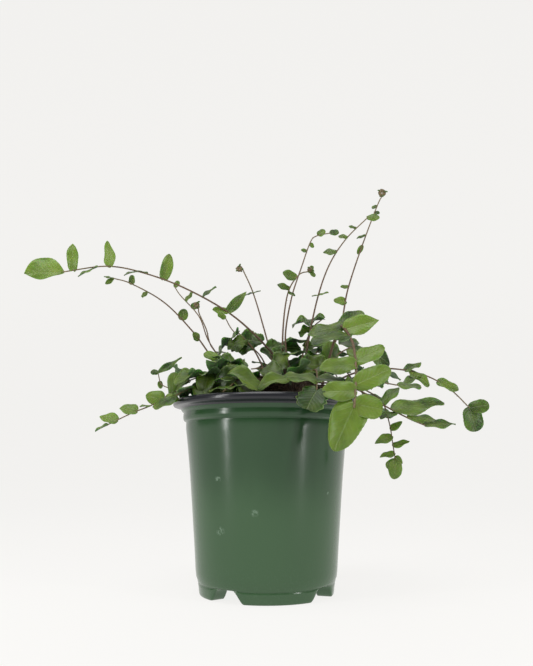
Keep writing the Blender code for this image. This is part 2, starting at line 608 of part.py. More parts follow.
def main():
    for stale in list(bpy.data.objects):
        bpy.data.objects.remove(stale)
    finishes = {
        "pot": material("pot_green", COLOURS["pot"], 0.38),
        "potting_mix": material("potting_mix", COLOURS["potting_mix"], 0.95),
        "crown": material("crown_bark", COLOURS["crown"], 0.9),
    }
    _, *pot_shape = build_pot(finishes["pot"])
    mix_shape = build_mix(finishes["potting_mix"])
    crown_shape = build_crown(finishes["crown"])
    growth = Growth([pot_shape, mix_shape, crown_shape])
    fronds = [Frond(name, *grown) for name, grown in TRAINED.items()]
    fronds += [Frond(name, *wild_frond(*habit)) for name, habit in WILD.items()]
    for frond in fronds:
        frond.grow_stem(growth)
    for frond in fronds:
        frond.grow_leaflets(growth)
    for frond in fronds:
        frond.build(material(frond.name + "_green", COLOURS["frond"], 0.5))


main()
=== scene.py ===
"""Dresses the potted button fern: the nursery pot, the potting mix, the crown and every frond.

Lengths are worked out in millimetres and written to the meshes in metres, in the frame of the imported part.
The plant's front looks along -Y and the pot stands on Z = 0.
"""

import logging
import math
import random
from collections.abc import Callable
from dataclasses import dataclass, field, replace
from enum import Enum

import bmesh
import bpy
import numpy as np
from mathutils import Matrix, Vector
from mathutils.bvhtree import BVHTree


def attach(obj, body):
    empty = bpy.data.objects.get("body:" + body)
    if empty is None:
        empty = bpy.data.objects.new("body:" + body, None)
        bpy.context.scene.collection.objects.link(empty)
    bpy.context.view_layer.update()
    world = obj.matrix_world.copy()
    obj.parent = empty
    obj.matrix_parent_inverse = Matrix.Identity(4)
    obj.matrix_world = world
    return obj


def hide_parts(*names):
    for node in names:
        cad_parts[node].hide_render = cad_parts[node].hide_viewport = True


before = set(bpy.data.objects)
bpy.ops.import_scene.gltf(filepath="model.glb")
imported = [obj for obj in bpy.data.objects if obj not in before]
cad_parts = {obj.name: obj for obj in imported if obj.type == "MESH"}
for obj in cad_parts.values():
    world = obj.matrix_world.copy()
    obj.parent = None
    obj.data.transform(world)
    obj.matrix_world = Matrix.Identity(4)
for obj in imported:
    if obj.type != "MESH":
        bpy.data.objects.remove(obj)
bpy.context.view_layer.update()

MM = 0.001
LOG = logging.getLogger("potted_fern")
Colour = tuple[float, float, float]
Place = tuple[float, float, float]
Material = bpy.types.Material
Piece = bpy.types.Object
Socket = bpy.types.NodeSocket
TURN = 6.283  # a full turn, for the waves along a blade


# Shader and geometry benches


def summed(operation: str, swapped: bool = False) -> Callable:
    """Makes a method of Signal that adds one Math node.

    Args:
        operation: The Math node's operation.
        swapped: Whether the signal comes second.

    Returns:
        The method.
    """

    def method(signal: "Signal", other: object = 0.0) -> "Signal":
        """The node's result for the signal and another value."""
        first, second = (other, signal) if swapped else (signal, other)
        node = signal.bench.node("ShaderNodeMath", {"operation": operation}, {0: first, 1: second})
        return Signal(signal.bench, node.outputs[0])

    return method


class Signal:
    """A number that varies over a surface, held as a shader socket, so that sums on it add Math nodes."""

    __add__ = summed("ADD")
    __radd__ = summed("ADD", swapped=True)
    __sub__ = summed("SUBTRACT")
    __rsub__ = summed("SUBTRACT", swapped=True)
    __mul__ = summed("MULTIPLY")
    __rmul__ = summed("MULTIPLY", swapped=True)
    __pow__ = summed("POWER")
    size = summed("ABSOLUTE")
    wave = summed("SINE")

    def __init__(self, bench: "ShaderBench", socket: Socket) -> None:
        """Keeps the socket and the bench that it belongs to."""
        self.bench = bench
        self.socket = socket

    def between(self, low: float, high: float) -> "Signal":
        """Rises smoothly from 0 at low to 1 at high.

        Args:
            low: The value that gives 0.
            high: The value that gives 1.

        Returns:
            The eased value.
        """
        eased = {"interpolation_type": "SMOOTHSTEP"}
        node = self.bench.node("ShaderNodeMapRange", eased, {0: self, 1: low, 2: high, 3: 0.0, 4: 1.0})
        return Signal(self.bench, node.outputs[0])


class NodeBench:
    """Builds nodes in one tree through one method."""

    def __init__(self, tree: bpy.types.NodeTree) -> None:
        """Keeps the tree."""
        self.tree = tree

    def node(self, kind: str, settings: dict | None = None, sockets: dict | None = None) -> bpy.types.Node:
        """Adds one node.

        Args:
            kind: The node's type name.
            settings: Attributes of the node, set before its sockets.
            sockets: Values, sockets or signals for its inputs, by name or by number.

        Returns:
            The new node.
        """
        made = self.tree.nodes.new(kind)
        for name, value in (settings or {}).items():
            setattr(made, name, value)
        for key, value in (sockets or {}).items():
            self.feed(made.inputs[key], value)
        return made

    def feed(self, socket: Socket, value: object) -> None:
        """Links a socket or a signal to an input, or sets its value.

        Args:
            socket: The input.
            value: What it takes.
        """
        source = getattr(value, "socket", value)
        if isinstance(source, Socket):
            self.tree.links.new(source, socket)
        elif socket.type == "RGBA" and len(source) == 3:
            socket.default_value = (*source, 1.0)
        else:
            socket.default_value = source


class ShaderBench(NodeBench):
    """Builds one material."""

    def __init__(self, name: str) -> None:
        """Makes an empty material with its Principled shader."""
        self.material = bpy.data.materials.new(name)
        self.material.use_nodes = True
        super().__init__(self.material.node_tree)
        self.shader = self.tree.nodes["Principled BSDF"]
        self.place = self.node("ShaderNodeTexCoord").outputs["Object"]

    def noise(self, scale: float, detail: float = 2.0, stretch: Place = (1.0, 1.0, 1.0)) -> Signal:
        """Soft noise over the piece.

        Args:
            scale: Lumps per metre.
            detail: How many finer layers it has.
            stretch: Its scale along each axis.

        Returns:
            The noise, about 0.5 on average.
        """
        placed = self.node("ShaderNodeMapping", None, {"Vector": self.place, "Scale": stretch})
        sockets = {"Vector": placed.outputs[0], "Scale": scale, "Detail": detail}
        return Signal(self, self.node("ShaderNodeTexNoise", None, sockets).outputs[0])

    def attribute(self, name: str) -> Signal:
        """A number stored on the mesh."""
        return Signal(self, self.node("ShaderNodeAttribute", {"attribute_name": name}).outputs["Fac"])

    def spread(self, name: str) -> tuple[Signal, Signal]:
        """The two parts of a UV map.

        Args:
            name: The map's name.

        Returns:
            Across and along.
        """
        flat = self.node("ShaderNodeUVMap", {"uv_map": name})
        parts = self.node("ShaderNodeSeparateXYZ", None, {0: flat.outputs[0]})
        return Signal(self, parts.outputs[0]), Signal(self, parts.outputs[1])

    def axis(self, index: int) -> Signal:
        """One coordinate of the place on the piece, in metres."""
        return Signal(self, self.node("ShaderNodeSeparateXYZ", None, {0: self.place}).outputs[index])

    def mixed(self, share: object, first: object, second: object) -> Socket:
        """Mixes two colours.

        Args:
            share: How much of the second, 0 to 1.
            first: The first colour.
            second: The second colour.

        Returns:
            The mixed colour's socket.
        """
        settings = {"data_type": "RGBA", "clamp_factor": True}
        return self.node("ShaderNodeMix", settings, {0: share, 6: first, 7: second}).outputs[2]

    def bump(self, height: Signal, strength: float, distance: float) -> Socket:
        """Turns a height into a normal.

        Args:
            height: The height.
            strength: The effect's share.
            distance: The height in metres of a value of 1.

        Returns:
            The normal's socket.
        """
        sockets = {"Strength": strength, "Distance": distance, "Height": height}
        return self.node("ShaderNodeBump", None, sockets).outputs[0]

    def finish(self, **sockets: object) -> Material:
        """Feeds the shader and hands over the material.

        Args:
            sockets: Values for the shader's inputs, with _ for a space.

        Returns:
            The material.
        """
        for name, value in sockets.items():
            self.feed(self.shader.inputs[name.replace("_", " ")], value)
        return self.material


class GrowthBench(NodeBench):
    """Builds one Geometry Nodes tree and runs it on an object."""

    def __init__(self, name: str, inputs: dict[str, tuple[str, object]]) -> None:
        """Makes the tree with its named inputs.

        Args:
            name: The tree's name.
            inputs: Socket type and value by input name.
        """
        super().__init__(bpy.data.node_groups.new(name, "GeometryNodeTree"))
        face = self.tree.interface
        face.new_socket("Geometry", in_out="INPUT", socket_type="NodeSocketGeometry")
        face.new_socket("Geometry", in_out="OUTPUT", socket_type="NodeSocketGeometry")
        self.values: dict[str, object] = {}
        for label, (kind, value) in inputs.items():
            made = face.new_socket(label, in_out="INPUT", socket_type=kind)
            self.values[made.identifier] = value
        self.start = self.node("NodeGroupInput")
        self.end = self.node("NodeGroupOutput")

    def given(self, name: str) -> Socket:
        """The socket of a named input."""
        return self.start.outputs[name]

    def chance(self, low: float, high: float, seed: int, kind: str = "FLOAT") -> Socket:
        """A random number for each point.

        Args:
            low: The least value.
            high: The largest value.
            seed: The seed.
            kind: FLOAT, or FLOAT_VECTOR for three numbers.

        Returns:
            The value's socket.
        """
        vector = kind == "FLOAT_VECTOR"
        ends = {0: (low,) * 3, 1: (high,) * 3} if vector else {2: low, 3: high}
        made = self.node("FunctionNodeRandomValue", {"data_type": kind}, {**ends, "Seed": seed})
        return made.outputs[0 if vector else 1]

    def stored(self, name: str) -> Socket:
        """The field of a number stored on the mesh."""
        return self.node("GeometryNodeInputNamedAttribute", {"data_type": "FLOAT"}, {"Name": name}).outputs[0]

    def compared(self, operation: str, first: object, second: object) -> Socket:
        """Whether a comparison of two numbers holds."""
        return self.node("FunctionNodeCompare", {"operation": operation}, {0: first, 1: second}).outputs[0]

    def cone(self, sides: int, top: float, foot: float, length: Socket) -> Socket:
        """A thin cone that serves as a scale or a root hair.

        Args:
            sides: How many sides it has.
            top: Its radius at the top, in metres.
            foot: Its radius at the foot, in metres.
            length: Its length's socket.

        Returns:
            Its geometry.
        """
        sockets = {"Vertices": sides, "Radius Top": top, "Radius Bottom": foot, "Depth": length}
        return self.node("GeometryNodeMeshCone", None, sockets).outputs[0]

    def dressed(self, geometry: object, material: Material) -> Socket:
        """Geometry in a material."""
        sockets = {"Geometry": geometry, "Material": material}
        return self.node("GeometryNodeSetMaterial", None, sockets).outputs[0]

    def scattered(
        self, surface: object, bit: object, density: float, factor: object, seed: int, size: object,
        turn: float, material: Material,
    ) -> Socket:
        """Lays small bits on a surface.

        Args:
            surface: The surface's geometry.
            bit: The bit's geometry.
            density: Bits per square metre.
            factor: A number or field from 0 to 1 that thins them.
            seed: The seed.
            size: The bits' size, a socket.
            turn: How far a bit may lean from the surface's normal, in radians.
            material: What the bits are made of.

        Returns:
            The bits as plain geometry.
        """
        spread = self.node("GeometryNodeDistributePointsOnFaces", None, {
            "Mesh": surface, "Density": density, "Seed": seed,
        })
        spare = self.compared("GREATER_THAN", self.chance(0.0, 1.0, seed + 9), factor)
        thinned = self.node("GeometryNodeDeleteGeometry", {"domain": "POINT"}, {
            "Geometry": spread.outputs["Points"], "Selection": spare,
        })
        tilt = self.chance(-turn, turn, seed + 1, "FLOAT_VECTOR")
        lean = self.node("FunctionNodeEulerToRotation", None, {0: tilt})
        turned = self.node("FunctionNodeRotateRotation", {"rotation_space": "LOCAL"}, {
            0: spread.outputs["Rotation"], 1: lean.outputs[0],
        })
        laid = self.node("GeometryNodeInstanceOnPoints", None, {
            "Points": thinned.outputs[0], "Instance": bit, "Rotation": turned.outputs[0], "Scale": size,
        })
        real = self.node("GeometryNodeRealizeInstances", None, {0: laid.outputs[0]})
        return self.dressed(real.outputs[0], material)

    def close(self, *results: object) -> None:
        """Joins the results as the tree's output."""
        joined = self.node("GeometryNodeJoinGeometry")
        for result in results:
            self.feed(joined.inputs[0], result)
        self.feed(self.end.inputs[0], joined.outputs[0])

    def run(self, piece: Piece) -> None:
        """Runs the tree on a piece and keeps the result as its plain mesh.

        Args:
            piece: The object to change.
        """
        modifier = piece.modifiers.new("grow", "NODES")
        modifier.node_group = self.tree
        for identifier, value in self.values.items():
            modifier[identifier] = value
        keep_result(piece)


# Mesh helpers


def keep_result(piece: Piece) -> None:
    """Keeps what a piece's modifiers make of it as its plain mesh."""
    graph = bpy.context.evaluated_depsgraph_get()
    made = piece.evaluated_get(graph)
    mesh = bpy.data.meshes.new_from_object(made, preserve_all_data_layers=True, depsgraph=graph)
    piece.modifiers.clear()
    piece.data = mesh


def linked(name: str, content: object) -> Piece:
    """Puts a mesh, a light or a camera into the scene as an object."""
    made = bpy.data.objects.new(name, content)
    bpy.context.scene.collection.objects.link(made)
    return made


def circle(radius: float, height: float, count: int, x: float = 0.0, y: float = 0.0) -> list:
    """Points of a level circle.

    Args:
        radius: Its radius.
        height: Its height.
        count: How many points it has.
        x: Its centre across.
        y: Its centre in depth.

    Returns:
        The points.
    """
    turns = [2.0 * math.pi * k / count for k in range(count)]
    return [(x + radius * math.cos(t), y + radius * math.sin(t), height) for t in turns]


@dataclass
class Skin:
    """Points, faces and what is stored on the points of a mesh under construction."""

    points: list = field(default_factory=list)
    faces: list = field(default_factory=list)
    slots: list = field(default_factory=list)
    marks: dict = field(default_factory=dict)
    spread: list = field(default_factory=list)

    def add(
        self, points: list, faces: list, slot: int = 0, spread: list | None = None, **marks: object
    ) -> None:
        """Adds a closed shape.

        Args:
            points: Its points in millimetres.
            faces: Its faces, as indices into the points.
            slot: Its material slot.
            spread: UV of each point.
            marks: Numbers stored on its points: one number, or one for each point.
        """
        start = len(self.points)
        self.points.extend(points)
        self.faces.extend([tuple(i + start for i in face) for face in faces])
        self.slots.extend([slot] * len(faces))
        self.spread.extend(spread or [(0.5, 0.5)] * len(points))
        for name, value in marks.items():
            store = self.marks.setdefault(name, [])
            store.extend([0.0] * (start - len(store)))
            store.extend(value if isinstance(value, (list, np.ndarray)) else [value] * len(points))

    def piece(self, name: str, materials: list) -> Piece:
        """Makes the object, shaded smooth.

        Args:
            name: The object's name.
            materials: One for each slot.

        Returns:
            The linked object.
        """
        mesh = bpy.data.meshes.new(name)
        mesh.from_pydata([tuple(c * MM for c in p) for p in self.points], [], self.faces)
        for material in materials:
            mesh.materials.append(material)
        mesh.polygons.foreach_set("material_index", self.slots)
        mesh.polygons.foreach_set("use_smooth", [True] * len(self.faces))
        flat = np.array(self.spread, float)
        corners = np.zeros(len(mesh.loops), int)
        mesh.loops.foreach_get("vertex_index", corners)
        layer = mesh.uv_layers.new(name="blade")
        layer.data.foreach_set("uv", flat[corners].ravel())
        for label, values in self.marks.items():
            values = list(values) + [0.0] * (len(self.points) - len(values))
            mesh.attributes.new(label, "FLOAT", "POINT").data.foreach_set("value", np.array(values, float))
        mesh.update()
        return linked(name, mesh)


def ringed(rings: list) -> tuple[list, list]:
    """Joins rings of equal count into a closed skin, whose ends may be single points.

    Args:
        rings: Lists of points.

    Returns:
        The points and the faces.
    """
    points: list = []
    starts = []
    for ring in rings:
        starts.append(len(points))
        points.extend(ring)
    faces = []
    for lower, upper, a, b in zip(rings, rings[1:], starts, starts[1:]):
        count = max(len(lower), len(upper))
        for i in range(count):
            j = (i + 1) % count
            if len(lower) == 1:
                faces.append((a, b + j, b + i))
            elif len(upper) == 1:
                faces.append((a + i, a + j, b))
            else:
                faces.append((a + i, a + j, b + j, b + i))
    if len(rings[0]) > 1:
        faces.append(tuple(reversed(range(len(rings[0])))))
    if len(rings[-1]) > 1:
        faces.append(tuple(range(starts[-1], starts[-1] + len(rings[-1]))))
    return points, faces


def outward(piece: Piece) -> None:
    """Turns every face of a closed piece outward."""
    shell = bmesh.new()
    shell.from_mesh(piece.data)
    bmesh.ops.recalc_face_normals(shell, faces=shell.faces)
    shell.to_mesh(piece.data)
    shell.free()


def lumps(place: Vector, size: float, seed: float) -> float:
    """A smooth bumpy number from -1 to 1.

    Args:
        place: Where, in millimetres.
        size: The lumps' size in millimetres.
        seed: Which pattern.

    Returns:
        The number.
    """
    x, y, z = (c / size for c in place)
    a = math.sin(1.7 * x + 1.1 * y + 0.6 * z + seed)
    b = math.sin(-1.3 * x + 1.9 * y + 0.9 * z + 2.3 * seed)
    c = math.sin(0.7 * x - 1.2 * y + 1.8 * z + 3.7 * seed)
    return (a + b + c) / 3.0


def claim(piece: Piece, node: str) -> None:
    """Hangs a piece under the root body, hides the CAD node that it stands for and logs its face count.

    Args:
        piece: The piece.
        node: The CAD node.
    """
    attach(piece, "root")
    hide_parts(node)
    LOG.info("%s: %d faces", piece.name, len(piece.data.polygons))


# Finishes


@dataclass(frozen=True)
class PotPlastic:
    """Thin formed plastic: satin, a little uneven, with a few dry water marks, and painted shade that deepens
    it toward the lip.
    """

    name: str
    colour: Colour
    # deep is the colour of the painted shade
    deep: Colour
    mark: Colour
    roughness: float
    spots: tuple = ()  # each water mark's way across, height and radius, in metres
    scuffed: float = 0.03  # height under which the foot is a little scuffed
    painted_shade_heights: tuple = (0.035, 0.082)  # heights between which painted shade deepens the colour toward the top of the wall
    bead: tuple = (0.103, 0.107)  # heights of a band of painted shade under the lip, where the colour deepens once more
    stretch: Place = (1.0, 1.0, 0.45)  # draws the unevenness out along the wall

    def make(self) -> Material:
        """Builds the material."""
        bench = ShaderBench(self.name)
        cloud = bench.noise(26.0, 3.0, self.stretch)
        fine = bench.noise(900.0, 2.0)
        ragged = bench.noise(520.0, 4.0)
        across, depth, height = bench.axis(0), bench.axis(1), bench.axis(2)
        near = 1.0 - depth.between(-0.01, 0.0)
        worn = (1.0 - height.between(0.0, self.scuffed)) * fine.between(0.5, 0.9) * 0.10
        for x, z, radius in self.spots:
            away = ((across - x) ** 2.0 + (height - z) ** 2.0) ** 0.5
            spot = 1.0 - away.between(0.3 * radius, radius)
            worn = worn + near * spot * ragged.between(0.42, 0.62) * 0.55
        # painted shade: the colour deepens toward the top of the wall, where the foliage shades it; the cloud
        # only makes it uneven
        full = height.between(*self.painted_shade_heights) * 0.85 + (cloud.between(0.3, 0.7) - 0.5) * 0.3
        # painted shade: a band under the lip is deepened once more, as the lip's shadow
        full = full.between(0.0, 1.0) + height.between(*self.bead) * 0.5
        colour = bench.mixed(full, self.colour, self.deep)
        colour = bench.mixed(worn, colour, self.mark)
        relief = bench.bump(fine * 0.25 + cloud, 0.15, 0.0006)
        rough = self.roughness + worn * 0.22 + (cloud - 0.5) * 0.10
        return bench.finish(Base_Color=colour, Roughness=rough, Normal=relief, IOR=1.5)


@dataclass(frozen=True)
class EarthFinish:
    """Moist mineral and woody bits: dark, rough and uneven."""

    name: str
    dark: Colour
    light: Colour
    roughness: float = 0.92
    grain: float = 900.0

    def make(self) -> Material:
        """Builds the material."""
        bench = ShaderBench(self.name)
        coarse = bench.noise(self.grain * 0.22, 4.0)
        fine = bench.noise(self.grain, 4.0)
        colour = bench.mixed((coarse * 0.6 + fine * 0.5).between(0.42, 0.72), self.dark, self.light)
        rough = self.roughness - fine.between(0.55, 0.75) * 0.2
        return bench.finish(Base_Color=colour, Roughness=rough, Normal=bench.bump(coarse + fine, 0.8, 0.0012))


@dataclass(frozen=True)
class StemFinish:
    """Wiry stem: dark brown at the foot, tan along its length, greener near the tip."""

    foot: Colour = (0.045, 0.024, 0.014)
    middle: Colour = (0.135, 0.078, 0.040)
    tip: Colour = (0.17, 0.125, 0.055)
    streak: Colour = (0.05, 0.03, 0.018)

    def make(self) -> Material:
        """Builds the material."""
        bench = ShaderBench("stem")
        along = bench.attribute("along")
        fleck = bench.noise(1500.0, 3.0)
        long_fleck = bench.noise(420.0, 2.0)
        colour = bench.mixed(along.between(0.02, 0.35), self.foot, self.middle)
        colour = bench.mixed(along.between(0.55, 1.0), colour, self.tip)
        colour = bench.mixed((fleck * 0.6 + long_fleck * 0.4).between(0.50, 0.62) * 0.75, colour, self.streak)
        relief = bench.bump(fleck, 0.5, 0.0002)
        return bench.finish(Base_Color=colour, Roughness=0.42 + fleck * 0.2, Normal=relief)


@dataclass(frozen=True)
class LeafFinish:
    """Living leaflet: a fresh green top with a paler margin and midrib, and a dull grey-green underside; its
    tone between dark and bright green is partly painted light and shade.
    """

    # bright and dark are the ends of the leaflet's tone, which is partly painted light and shade
    bright: Colour = (0.132, 0.206, 0.022)
    dark: Colour = (0.013, 0.036, 0.003)
    yellow: Colour = (0.23, 0.29, 0.05)
    pale: Colour = (0.22, 0.31, 0.10)
    under: Colour = (0.105, 0.175, 0.072)
    under_dark: Colour = (0.030, 0.062, 0.024)
    veins: float = 46.0  # turns of the side veins along the blade, in radians
    vein_lean: float = 17.0  # how far the side veins slant toward the tip
    midrib: float = 0.085  # the midrib's half width, as a share of the blade's
    margin: float = 0.91  # where the pale margin starts, as a share of the half width

    def make(self) -> Material:
        """Builds the material."""
        bench = ShaderBench("leaflet")
        across, along = bench.spread("blade")
        side = (across * 2.0 - 1.0).size()
        # the tone stored on each leaflet is partly painted light and shade
        tone = bench.attribute("tone")
        under = bench.attribute("under")
        cloud = bench.noise(85.0, 3.0)
        cell = bench.noise(1400.0, 2.0)
        patch = bench.noise(330.0, 4.0)
        # painted light: the across term makes one half of each blade lighter than the other, as light falls
        # on one side of its fold
        shade = tone + (cloud - 0.5) * 1.3 + (patch - 0.5) * 0.3 + (across - 0.5) * 0.16
        top = bench.mixed(shade.between(0.0, 1.0), self.dark, self.bright)
        top = bench.mixed(bench.attribute("age") * cloud.between(0.35, 0.7), top, self.yellow)
        ribs = ((along * self.veins - side * self.vein_lean).wave() * 0.5 + 0.5) ** 6.0
        midrib = 1.0 - side.between(0.0, self.midrib)
        top = bench.mixed(ribs * 0.07 + midrib * 0.25, top, self.pale)
        top = bench.mixed(side.between(self.margin, 1.0) * 0.70, top, self.pale)
        below = bench.mixed(shade.between(-0.1, 1.0), self.under_dark, self.under)
        below = bench.mixed(midrib * 0.35 + ribs * 0.08, below, self.pale)
        colour = bench.mixed(under, top, below)
        height = cell * 0.07 + ribs * 0.35 - midrib * 0.8 + cloud * 0.8
        rough = 0.34 + under * 0.26 + cell * 0.12
        return bench.finish(
            Base_Color=colour, Roughness=rough, Normal=bench.bump(height, 0.42, 0.0004), IOR=1.45,
            Subsurface_Weight=0.22, Subsurface_Radius=(0.35, 0.8, 0.12), Subsurface_Scale=0.0016,
        )


# The pot


class Arch(Enum):
    """How a ring of the pot follows the arches between its feet."""

    LEVEL = "stays level"
    SHIFTED = "rises by the whole arch"
    FADING = "rises less the higher it lies"


@dataclass
class NurseryPot:
    """A formed pot: tapering wall, bead and groove under a turned-out lip, four feet, raised floor."""

    foot_height: float = 6.8
    first_foot: float = -80.0
    foot_flat: float = 28.0
    foot_root: float = 38.0
    base_step: float = 7.2
    floor: float = 7.0
    wall: float = 0.9
    drain_radius: float = 4.0
    drain_circle: float = 19.0
    drain_sides: int = 24
    drain_reach: tuple = (3.0, 12.0)  # the heights between which a drain hole is cut
    segments: int = 240
    lip_shade_rings: int = 3  # how many bands under the lip take the lining's dark colour as painted shade
    floor_below: tuple = (3.0, 30.0)
    foot_below: tuple = ((30.5, 0.35), (31.0, 0.0), (31.5, 0.0))
    foot_side: tuple = (
        (38.3, 0.0), (38.9, 0.1), (39.3, 0.6), (39.5, 1.6), (39.9, 5.0), (40.1, 6.2), (39.7, 6.7),
    )
    foot_inside: tuple = (38.2, 31.9)
    floor_inside: tuple = (31.1, 3.0)
    outside: tuple = (
        (40.35, 7.3), (40.6, 8.6), (41.3, 10.3), (41.7, 13.3), (42.6, 26.0), (43.7, 39.4), (44.8, 53.0),
        (46.0, 67.0), (47.4, 81.0), (48.2, 88.0), (48.8, 92.5), (49.1, 95.0), (49.2, 97.6), (49.2, 98.6),
        (49.05, 99.0), (49.3, 99.3), (50.2, 99.7), (50.75, 100.5), (50.95, 101.5), (51.0, 102.6),
        (50.9, 103.6), (50.75, 104.3), (50.9, 104.9), (51.6, 105.4), (52.1, 106.0), (52.35, 106.7),
        (52.7, 107.2), (53.8, 107.8), (56.2, 108.3),
    )
    lip: tuple = (
        (56.9, 108.6), (57.2, 109.2), (57.25, 110.2), (57.05, 111.2), (56.6, 111.9), (56.0, 112.3),
        (55.3, 112.4), (54.5, 112.0), (53.9, 111.3), (53.0, 109.4), (52.1, 107.4), (51.1, 105.6),
        (50.0, 103.8), (49.6, 102.0), (49.3, 100.4), (48.35, 98.9), (48.3, 97.6), (47.9, 94.5),
        (46.5, 81.0), (45.1, 67.0), (43.9, 53.0), (42.8, 39.4), (41.7, 26.0), (40.7, 13.3), (40.3, 11.2),
        (39.5, 9.6),
    )

    def foot_share(self, azimuth: float) -> float:
        """How much of a foot there is at an azimuth: 1 on it, 0 in the arch beside it."""
        away = abs((azimuth - self.first_foot + 45.0) % 90.0 - 45.0)
        slope = min(1.0, max(0.0, (self.foot_root - away) / (self.foot_root - self.foot_flat)))
        return slope * slope * (3.0 - 2.0 * slope)

    def ring(self, radius: float, height: float, arch: Arch = Arch.LEVEL) -> list:
        """One ring of the pot.

        Args:
            radius: Its radius.
            height: Its height where the feet are full.
            arch: How it follows the arches.

        Returns:
            Its points.
        """
        made = []
        for step in range(self.segments):
            azimuth = 360.0 * step / self.segments
            lift = self.foot_height * (1.0 - self.foot_share(azimuth))
            rises = {
                Arch.LEVEL: height,
                Arch.SHIFTED: lift + height,
                Arch.FADING: lift + height * (self.base_step - lift) / self.base_step,
            }
            turn = math.radians(azimuth)
            made.append((radius * math.cos(turn), radius * math.sin(turn), rises[arch]))
        return made

    def build(self, plastic: Material, inner: Material) -> Piece:
        """Builds the pot.

        Args:
            plastic: The outside's material.
            inner: The material of the inside, the lip and, as painted shade, the bands under the lip.

        Returns:
            The pot.
        """
        below = [self.ring(r, self.floor) for r in self.floor_below]
        below += [self.ring(r, z, Arch.SHIFTED) for r, z in self.foot_below]
        below += [self.ring(r, z, Arch.FADING) for r, z in self.foot_side]
        green = below + [self.ring(r, z) for r, z in self.outside]
        dark = [self.ring(r, z) for r, z in self.lip]
        dark += [self.ring(r, self.wall, Arch.SHIFTED) for r in self.foot_inside]
        dark += [self.ring(r, self.floor + self.wall) for r in self.floor_inside]
        rings = [[(0.0, 0.0, self.floor)], *green, *dark, [(0.0, 0.0, self.floor + self.wall)]]
        points, faces = ringed(rings)
        skin = Skin()
        skin.add(points, faces)
        # the last bands under the lip take the lining's colour as painted shade
        split = self.segments * (len(green) - self.lip_shade_rings)
        skin.slots = [0 if i < split else 1 for i in range(len(faces))]
        pot = skin.piece("nursery_pot", [plastic, inner])
        outward(pot)
        self.drill(pot)
        return pot

    def drill(self, pot: Piece) -> None:
        """Cuts the drain holes in the floor."""
        places = [(0.0, 0.0)]
        for quarter in range(4):
            turn = math.radians(self.first_foot + 90.0 * quarter)
            places.append((self.drain_circle * math.cos(turn), self.drain_circle * math.sin(turn)))
        pegs = Skin()
        for x, y in places:
            rims = [circle(self.drain_radius, z, self.drain_sides, x, y) for z in self.drain_reach]
            pegs.add(*ringed(rims))
        cutter = pegs.piece("drain_pegs", [pot.data.materials[1]])
        outward(cutter)
        cut = pot.modifiers.new("drains", "BOOLEAN")
        cut.operation = "DIFFERENCE"
        cut.solver = "EXACT"
        cut.object = cutter
        keep_result(pot)
        bpy.data.objects.remove(cutter)


# The potting mix and the crown


